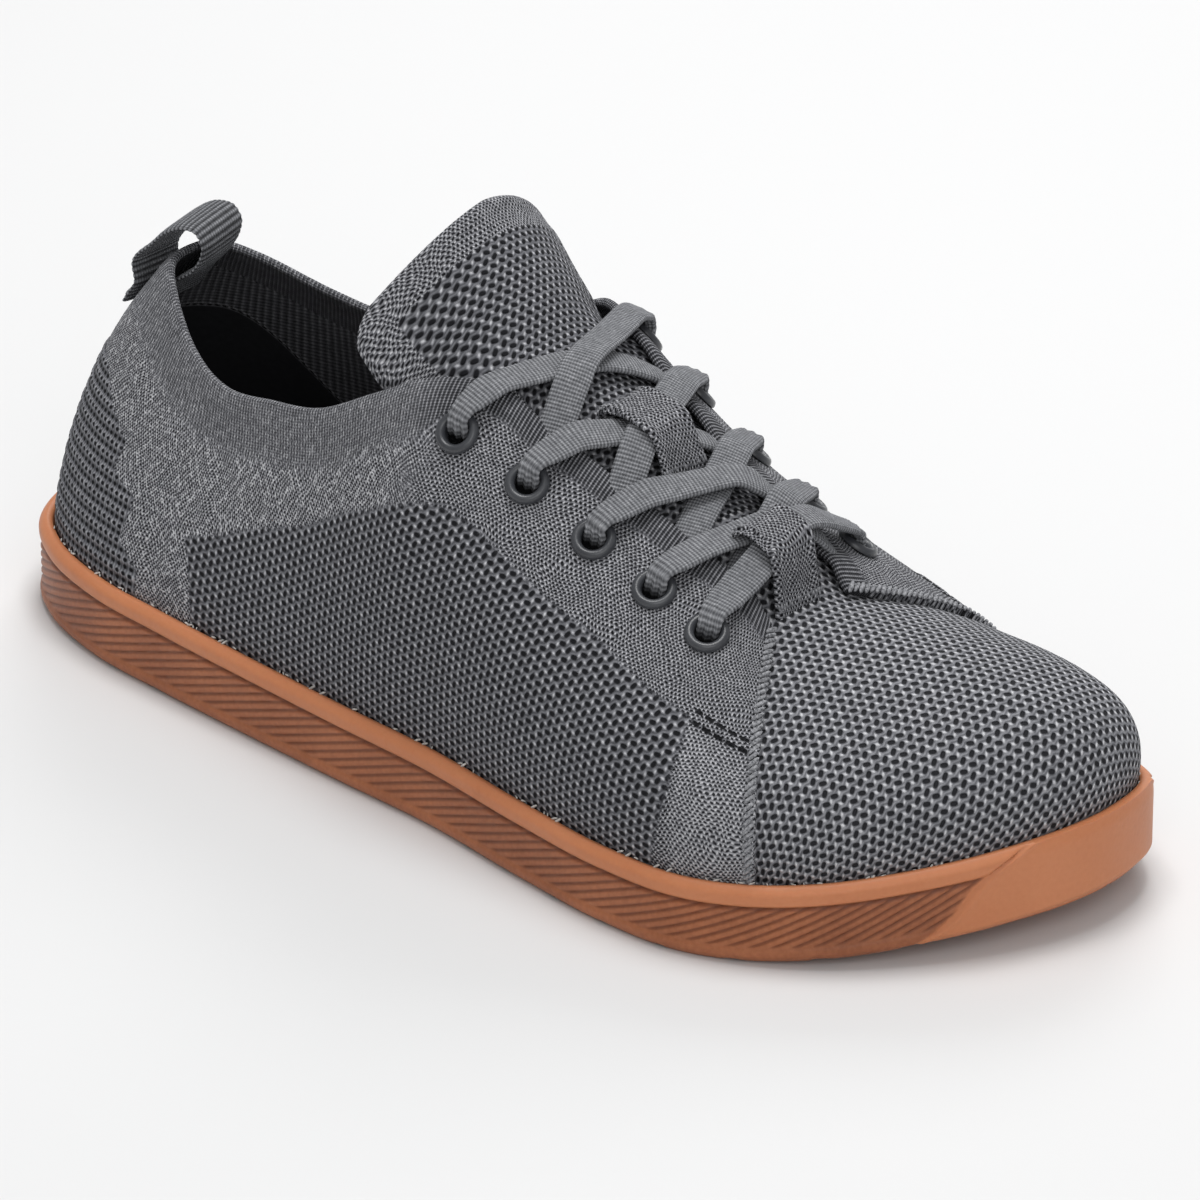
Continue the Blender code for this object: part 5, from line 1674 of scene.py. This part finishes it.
def lace_strand(name, start, end, over_sides, ends_in_holes, laid):
    """One strand of lace from an eyelet over what lies under it, added to what is laid."""
    spot, normal = start
    far_spot, far_normal = end if ends_in_holes else (end, None)
    start, end = spot, far_spot
    length = float(np.linalg.norm(np.array(end[:2]) - np.array(start[:2])))
    travel = np.linspace(0, length, LACE_LAY_STEPS)
    neck = 1 - ease(travel / LACE_NECK_LENGTH)
    if ends_in_holes:
        neck = neck + 1 - ease((length - travel) / LACE_NECK_LENGTH)
    halves = (LACE_WIDTH + (LACE_NECK - LACE_WIDTH) * np.clip(neck, 0, 1)) / 2
    bow = 0.0 if ends_in_holes else LACE_BOW
    middle, across = lay_strip(start, end, halves, over_sides, laid, side_trees, bow)
    pleats = LACE_PLEAT * np.clip(neck, 0, 1) ** 1.5
    middle, across, halves, pleats = rise_from_hole(middle, across, halves, pleats, spot, normal)
    if ends_in_holes:
        turned = (middle[::-1], across[::-1], halves[::-1], pleats[::-1])
        middle, across, halves, pleats = rise_from_hole(*turned, far_spot, far_normal)
    rings, place = ribbon_rings(
        middle, across, halves, LACE_THICKNESS, LACE_RIB_PITCH, LACE_RIB_STEPS,
        LACE_RIB_DEPTH, LACE_SECTION_POINTS, pleats, LACE_GAP,
    )
    along = place[:, :, 1]
    lit = ease((along - LACE_SHADED) / (LACE_LIT - LACE_SHADED))
    if ends_in_holes:
        lit = lit * ease((along.max() - along - LACE_SHADED) / (LACE_LIT - LACE_SHADED))
    strand = ribbon_piece(name, rings, place, lace_weave, {"lit": lit.ravel()})
    laid.append(tree_of(strand))
    return strand


lace_weave = woven_lace()
quarter_tree = tree_of(quarters)
side_trees = {1: [quarter_tree], -1: [quarter_tree]}
for ring in eyelet_rings:
    side_trees[1 if "lateral" in ring.name else -1].append(tree_of(ring))
laid_trees = [tree_of(tongue), tree_of(vamp)]
holes = {}
dives = {}
for side_name, number, station, spot, normal in eyelet_places():
    holes[side_name, number] = (spot, normal)
    rim_point = quarter_rim(np.array([station]))[0]
    dives[side_name, number] = (rim_point[0], rim_point[1] + math.copysign(LACE_DIVE, rim_point[1]))
for number in range(1, EYELETS_PER_SIDE):
    over_side, under_side = ("lateral", "medial") if number > 2 else ("medial", "lateral")
    for near, far in ((under_side, over_side), (over_side, under_side)):
        strand = lace_strand(
            f"lace_{near}_{number}", holes[near, number], dives[far, number + 1],
            (1 if near == "lateral" else -1,), False, laid_trees,
        )
        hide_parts(f"lace_cross_{number}")
bar = lace_strand(
    "lace_lowest_bar", holes["lateral", EYELETS_PER_SIDE], holes["medial", EYELETS_PER_SIDE],
    (1, -1), True, laid_trees,
)
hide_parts("lace_bar")

# Tongue loops
# Two bands of dense knit with rolled edges, sewn to the tongue, that the lace passes through.
LOOP_WIDTH = 13 * MM
LOOP_THICKNESS = 1.2 * MM
LOOP_LENGTH = 13 * MM
LOOP_FOOT = 2.5 * MM
LOOP_LAY_STEPS = 48
LOOP_PITCH = 0.9 * MM
LOOP_RIB_DEPTH = 0.05 * MM
LOOP_SECTION_POINTS = 56
LOOP_BEAD = 0.55 * MM
LOOP_BEAD_PLACE = 1.1 * MM
LOOP_BEAD_WIDTH = 0.9 * MM
LOOP_SINK = 1.3 * MM
LOOP_SINK_REACH = 2.4
LOOP_TACK_RING = 7
LOOP_TACK_POINTS = slice(4, 25, 2)


def knit_of_loops():
    """Dense birdseye knit of the tongue loops."""
    made, tree, shader = blank_material("knit_loops", 0.8)
    across, along = layer_place(tree, "knit")
    height, tone = dense_knit(tree, across, along, 0.95)
    knit_finish(tree, shader, height, tone)
    return made


loop_knit = knit_of_loops()
second_place = (holes["lateral", 2][0][0] + holes["lateral", 3][0][0]) / 2
last_place = holes["lateral", EYELETS_PER_SIDE][0][0]
loop_ends = []
loop_places = (("upper", second_place, 0.0, 0.0), ("lower", last_place, -6.0 * MM, -2.0 * MM))
for loop_name, x, front, aside in loop_places:
    reach = LOOP_LENGTH / 2 + LOOP_FOOT
    halves = np.full(LOOP_LAY_STEPS, LOOP_WIDTH / 2)
    ends = ((x - reach, aside), (x + reach + front, aside))
    middle, across = lay_strip(*ends, halves, (), laid_trees, side_trees)
    rings, place = ribbon_rings(
        middle, across, halves, LOOP_THICKNESS, LOOP_PITCH, 4,
        LOOP_RIB_DEPTH, LOOP_SECTION_POINTS, np.zeros(LOOP_LAY_STEPS), LACE_GAP,
    )
    edge = np.abs(place[:, :, :1]) * MM - (LOOP_WIDTH / 2 - LOOP_BEAD_PLACE)
    swell = LOOP_BEAD * bell(edge, LOOP_BEAD_WIDTH)
    centre = rings.mean(axis=1, keepdims=True)
    outward = rings - centre
    upright = np.cross(np.gradient(centre[:, 0], axis=0), (0, 1, 0))
    upright /= np.linalg.norm(upright, axis=1)[:, None]
    face = np.sign(np.sum(outward * upright[:, None], axis=2))[:, :, None]
    rings = rings + face * upright[:, None] * swell
    halfway = place[:, 0, 1].max() / 2
    to_end = halfway - np.abs(place[:, 0, 1] - halfway)
    rings[:, :, 2] -= (LOOP_SINK * (1 - ease(to_end / LOOP_SINK_REACH)))[:, None]
    for index in (LOOP_TACK_RING, len(rings) - 1 - LOOP_TACK_RING):
        loop_ends.append((rings[index, LOOP_TACK_POINTS], upright[index]))
    loop = ribbon_piece(f"loop_band_{loop_name}", rings, place, loop_knit)
    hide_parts(f"tongue_loop_{loop_name}")

# Pull tab
# A loop of cross-ribbed webbing over the back of the collar, tacked on the outside and lying on the
# lining inside.
TAB_WIDTH = 14 * MM
TAB_THICKNESS = 1.4 * MM
TAB_RISE = 6.5 * MM
TAB_REACH = 10 * MM
TAB_LEG = 20 * MM
TAB_FREE = 14 * MM
TAB_INNER_TOP = 4 * MM
TAB_INNER_LENGTH = 8 * MM
TAB_INNER_GAP = 1.9 * MM
TAB_RIB_PITCH = 1.35 * MM
TAB_RIB_STEPS = 6
TAB_RIB_DEPTH = 0.24 * MM
TAB_SECTION_POINTS = 48
TAB_TWIST_BACK = 0.9 * MM
TAB_TWIST_UP = 0.8 * MM
TAB_TWIST_START = 0.15
TAB_TWIST_REACH = 0.3
TAB_TWIST_END = 0.95
TAB_TWIST_FALL = 0.25
TAB_LINE_POINTS = 90

# Points of the tab's arch: forward and up from the rim, as shares of its reach and rise.
TAB_ARCH = (
    (-1.04, -0.72),
    (-0.56, 0.18),
    (-0.06, 0.97),
    (0.42, 1.32),
    (0.82, 1.32),
    (1.00, 1.02),
    (0.95, 0.50),
    (0.76, 0.02),
)


def tab_line():
    """Side view of the tab's middle: leg on the heel, arch over the rim, leg on the lining."""
    off = CLEARANCE + TAB_THICKNESS / 2
    path = []
    for down in np.linspace(TAB_LEG, TAB_FREE, 5):
        spot, normal = rib_spot(0.0, down)
        path.append((spot + normal * off)[[0, 2]])
    rim = quarter_rim(np.array([0.0]))[0]
    for forward, up in TAB_ARCH:
        path.append((rim[0] + forward * TAB_REACH, rim[2] + up * TAB_RISE))
    for down in np.linspace(TAB_INNER_TOP, TAB_INNER_TOP + TAB_INNER_LENGTH, 3):
        spot, normal = rib_spot(0.0, down)
        path.append((spot - normal * (UPPER_WALL + off + TAB_INNER_GAP))[[0, 2]])
    knots = np.array(path)
    travel = line_travel(knots)
    line = follow_line(travel, knots, np.linspace(0, travel[-1], TAB_LINE_POINTS))
    return np.c_[line[:, 0], np.zeros(len(line)), line[:, 1]]


def webbing():
    """Grey webbing with thick cross ribs and pale crossing threads."""
    made, tree, shader = blank_material("webbing", 0.75)
    across, along = layer_place(tree, "knit")
    pitch = TAB_RIB_PITCH / MM
    rib = along.wave(pitch, "COSINE")
    thread = across.wave(0.72)
    fleck = noise(tree, object_place(tree), 1300.0, 2.0)
    tone = rib * 0.30 + rib * thread * 0.30 + fleck * 0.20
    knit_finish(tree, shader, rib * 0.5 + thread * 0.5, tone, BRAID_TONES, 0.0003)
    return made


tab_middle = tab_line()
tab_count = len(tab_middle)
tab_across = np.tile((0.0, 1.0, 0.0), (tab_count, 1))
tab_halves = np.full(tab_count, TAB_WIDTH / 2)
tab_rings, tab_place = ribbon_rings(
    tab_middle, tab_across, tab_halves, TAB_THICKNESS, TAB_RIB_PITCH, TAB_RIB_STEPS,
    TAB_RIB_DEPTH, TAB_SECTION_POINTS, np.zeros(tab_count), -TAB_THICKNESS / 2,
)
tab_way = np.linspace(0, 1, len(tab_rings))[:, None]
tab_free = ease((tab_way - TAB_TWIST_START) / TAB_TWIST_REACH)
tab_free = tab_free * ease((TAB_TWIST_END - tab_way) / TAB_TWIST_FALL)
tab_side = tab_place[:, :, 0] * MM / (TAB_WIDTH / 2)
tab_rings[:, :, 0] -= TAB_TWIST_BACK * tab_side * tab_free
tab_rings[:, :, 2] += TAB_TWIST_UP * tab_side * tab_free
tab = ribbon_piece("pull_tab_webbing", tab_rings, tab_place, webbing())
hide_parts("pull_tab")

# Stitches and loose threads
# Slanting stitches roll over the quarters' front edges, tacks hold the loops and the tab, and
# short pale threads stick out where the knit goes into the sole.
STITCH_SPACING = 1.5 * MM
STITCH_FROM_EDGE = 0.0042
STITCH_LIFT = 0.12 * MM
TACK_COUNT = 11
TACK_HALF_WIDTH = 5.4 * MM
TACK_FROM_END = 1.7 * MM
FRAY_COUNT = 300
FRAY_INSET = 2.9 * MM
FRAY_STATIONS = (0.01, 0.985)
FRAY_LIFT = 0.05 * MM
FRAY_OUTWARD = 0.6
FRAY_UPWARD = 0.8
THREAD_SIDES = 8
THREAD_RINGS = 6
THREAD_SIZES = ("Length", "Thickness", "Slant", "Slant Spread", "Unevenness", "Left Out")
SEAM_SIZES = (3.5 * MM, 1.00 * MM, 0.80, 0.12, 0.12, 0.0)
TACK_SIZES = (2.1 * MM, 0.55 * MM, 0.25, 0.15, 0.10, 0.0)
FRAY_SIZES = (1.35 * MM, 0.42 * MM, 0.0, 1.2, 0.45, 0.72)


def thread_yarn(name, dark, light):
    """Twisted yarn between two colours."""
    made, tree, shader = blank_material(name, 0.8)
    twist = noise(tree, object_place(tree), 1800.0, 2.0)
    tree.links.new(ramp(tree, twist, ((0.35, dark), (0.65, light))), shader.inputs["Base Color"])
    shader.inputs["Specular IOR Level"].default_value = 0.15
    raise_surface(tree, shader, twist, 0.0001)
    return made


def thread_tree():
    """Geometry Nodes tree that sets one short thread on each point of a mesh."""
    tree = bpy.data.node_groups.new("threads_on_points", "GeometryNodeTree")
    tree.interface.new_socket("Points", in_out="INPUT", socket_type="NodeSocketGeometry")
    for name in THREAD_SIZES:
        tree.interface.new_socket(name, in_out="INPUT", socket_type="NodeSocketFloat")
    tree.interface.new_socket("Seed", in_out="INPUT", socket_type="NodeSocketInt")
    tree.interface.new_socket("Finish", in_out="INPUT", socket_type="NodeSocketMaterial")
    tree.interface.new_socket("Threads", in_out="OUTPUT", socket_type="NodeSocketGeometry")
    given = tree.nodes.new("NodeGroupInput").outputs

    def node(kind, links, **settings):
        """A node with its settings and its links, given as {input: output socket}."""
        made = tree.nodes.new(kind)
        for name, value in settings.items():
            setattr(made, name, value)
        for place, socket in links.items():
            tree.links.new(socket, made.inputs[place])
        return made

    def direction(name):
        found = node("GeometryNodeInputNamedAttribute", {}, data_type="FLOAT_VECTOR")
        found.inputs["Name"].default_value = name
        return found.outputs["Attribute"]

    def number(operation, one, two):
        """Arithmetic on sockets or plain numbers."""
        made = node("ShaderNodeMath", {}, operation=operation)
        for place, value in enumerate((one, two)):
            if isinstance(value, float):
                made.inputs[place].default_value = value
            else:
                tree.links.new(value, made.inputs[place])
        return made.outputs[0]

    def random_number(low, high):
        made = node("FunctionNodeRandomValue", {"Seed": given["Seed"]}, data_type="FLOAT")
        tree.links.new(low, made.inputs[2])
        tree.links.new(high, made.inputs[3])
        return made.outputs[1]

    chance = node(
        "FunctionNodeRandomValue",
        {"Probability": given["Left Out"], "Seed": given["Seed"]},
        data_type="BOOLEAN",
    )
    points = node("GeometryNodeMeshToPoints", {"Mesh": given["Points"]})
    kept = node(
        "GeometryNodeDeleteGeometry",
        {"Geometry": points.outputs["Points"], "Selection": chance.outputs[3]},
        domain="POINT",
    )
    axes = node(
        "FunctionNodeAxesToRotation",
        {0: direction("facing"), 1: direction("way")},
        primary_axis="Z",
        secondary_axis="X",
    )
    least = number("SUBTRACT", given["Slant"], given["Slant Spread"])
    most = number("ADD", given["Slant"], given["Slant Spread"])
    turn = node("ShaderNodeCombineXYZ", {"Z": random_number(least, most)})
    turn = node("FunctionNodeEulerToRotation", {0: turn.outputs[0]})
    turned = node(
        "FunctionNodeRotateRotation",
        {"Rotation": axes.outputs[0], "Rotate By": turn.outputs[0]},
        rotation_space="LOCAL",
    )
    ball = node("GeometryNodeMeshUVSphere", {})
    ball.inputs["Segments"].default_value = THREAD_SIDES
    ball.inputs["Rings"].default_value = THREAD_RINGS
    ball.inputs["Radius"].default_value = 0.5
    size = node(
        "ShaderNodeCombineXYZ",
        {"X": given["Length"], "Y": given["Thickness"], "Z": given["Thickness"]},
    )
    thread = node("GeometryNodeTransform", {"Geometry": ball.outputs["Mesh"], "Scale": size.outputs[0]})
    smaller = number("SUBTRACT", 1.0, given["Unevenness"])
    larger = number("ADD", 1.0, given["Unevenness"])
    laid = node("GeometryNodeInstanceOnPoints", {
        "Points": kept.outputs[0],
        "Instance": thread.outputs[0],
        "Rotation": turned.outputs[0],
        "Scale": random_number(smaller, larger),
    })
    real = node("GeometryNodeRealizeInstances", {"Geometry": laid.outputs[0]})
    painted = node("GeometryNodeSetMaterial", {"Geometry": real.outputs[0], "Material": given["Finish"]})
    node("NodeGroupOutput", {"Threads": painted.outputs[0]})
    return tree


def lay_threads(name, spots, facing, way, sizes, seed, finish):
    """One mesh of threads on the given points, riding on the shoe."""
    mesh = bpy.data.meshes.new(name)
    mesh.from_pydata([tuple(spot) for spot in spots - np.array([HEEL_CENTRE, 0, 0])], [], [])
    for mark_name, values in (("facing", facing), ("way", way)):
        mark = mesh.attributes.new(mark_name, "FLOAT_VECTOR", "POINT")
        mark.data.foreach_set("vector", np.asarray(values, dtype=np.float32).ravel())
    carrier = bpy.data.objects.new(f"{name}_points", mesh)
    bpy.context.scene.collection.objects.link(carrier)
    modifier = carrier.modifiers.new("threads", "NODES")
    modifier.node_group = threads_on_points
    values = dict(zip(THREAD_SIZES, sizes))
    values["Seed"] = seed
    values["Finish"] = finish
    for item in threads_on_points.interface.items_tree:
        if item.name in values:
            modifier[item.identifier] = values[item.name]
    graph = bpy.context.evaluated_depsgraph_get()
    shape = bpy.data.meshes.new_from_object(carrier.evaluated_get(graph))
    carrier.modifiers.clear()
    bpy.data.objects.remove(carrier)
    shape.shade_smooth()
    made = bpy.data.objects.new(name, shape)
    bpy.context.scene.collection.objects.link(made)
    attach(made, "root")
    return made


def seam_line(side):
    """Even points up a quarter's front edge, with their facing and the way up."""
    station = side * (SEAM_STATION - STITCH_FROM_EDGE)
    near = np.array([station - 0.003, station, station + 0.003])
    grid, _ = quarter_surface(near, np.linspace(0, 1, 80))
    points = grid[1, 2:]
    travel = line_travel(points)
    at = np.arange(STITCH_SPACING / 2, travel[-1], STITCH_SPACING)
    spots = read_line(travel, points, at)
    facing = read_line(travel, surface_normals(grid)[1, 2:], at)
    return spots + facing * STITCH_LIFT, facing, np.gradient(spots, axis=0)


def sole_line(side):
    """Even points where the knit goes into the sole, with their facing and the way along."""
    base, outward = side_points(side, np.linspace(*FRAY_STATIONS, FRAY_COUNT), FRAY_INSET)
    height = floor_lift(base[:, 0]) + wall_height(base[:, 0]) + FRAY_LIFT
    spots = np.c_[base, height]
    facing = np.c_[outward * FRAY_OUTWARD, np.full(len(outward), FRAY_UPWARD)]
    return spots, facing, np.gradient(spots, axis=0)


threads_on_points = thread_tree()
knit_yarn = thread_yarn("knit_yarn", (0.120, 0.123, 0.133), (0.380, 0.384, 0.402))
pale_yarn = thread_yarn("pale_yarn", (0.36, 0.35, 0.33), (0.72, 0.70, 0.67))
for side, side_name in ((1, "lateral"), (-1, "medial")):
    spots, facing, way = seam_line(side)
    slanted = (SEAM_SIZES[0], SEAM_SIZES[1], -side * SEAM_SIZES[2], *SEAM_SIZES[3:])
    lay_threads(f"seam_stitches_{side_name}", spots, facing, way, slanted, 11, knit_yarn)
    spots, facing, way = sole_line(-side)
    lay_threads(f"loose_threads_{side_name}", spots, facing, way, FRAY_SIZES, 23, pale_yarn)
tack_spots = [end_spots for end_spots, _ in loop_ends]
tack_facing = [np.tile(upright, (len(end_spots), 1)) for end_spots, upright in loop_ends]
tab_spot, tab_normal = rib_spot(0.0, TAB_LEG - TACK_FROM_END)
tab_row = np.zeros((TACK_COUNT, 3))
tab_row[:, 1] = np.linspace(-TACK_HALF_WIDTH, TACK_HALF_WIDTH, TACK_COUNT)
tack_spots.append(tab_spot + tab_normal * (CLEARANCE + TAB_THICKNESS + STITCH_LIFT) + tab_row)
tack_facing.append(np.tile(tab_normal, (TACK_COUNT, 1)))
tack_way = [np.tile((1.0, 0.0, 0.0), (len(end_spots), 1)) for end_spots, _ in loop_ends]
tack_way.append(np.tile((0.0, 0.0, 1.0), (TACK_COUNT, 1)))
lay_threads(
    "tack_stitches", np.vstack(tack_spots), np.vstack(tack_facing), np.vstack(tack_way),
    TACK_SIZES, 37, knit_yarn,
)
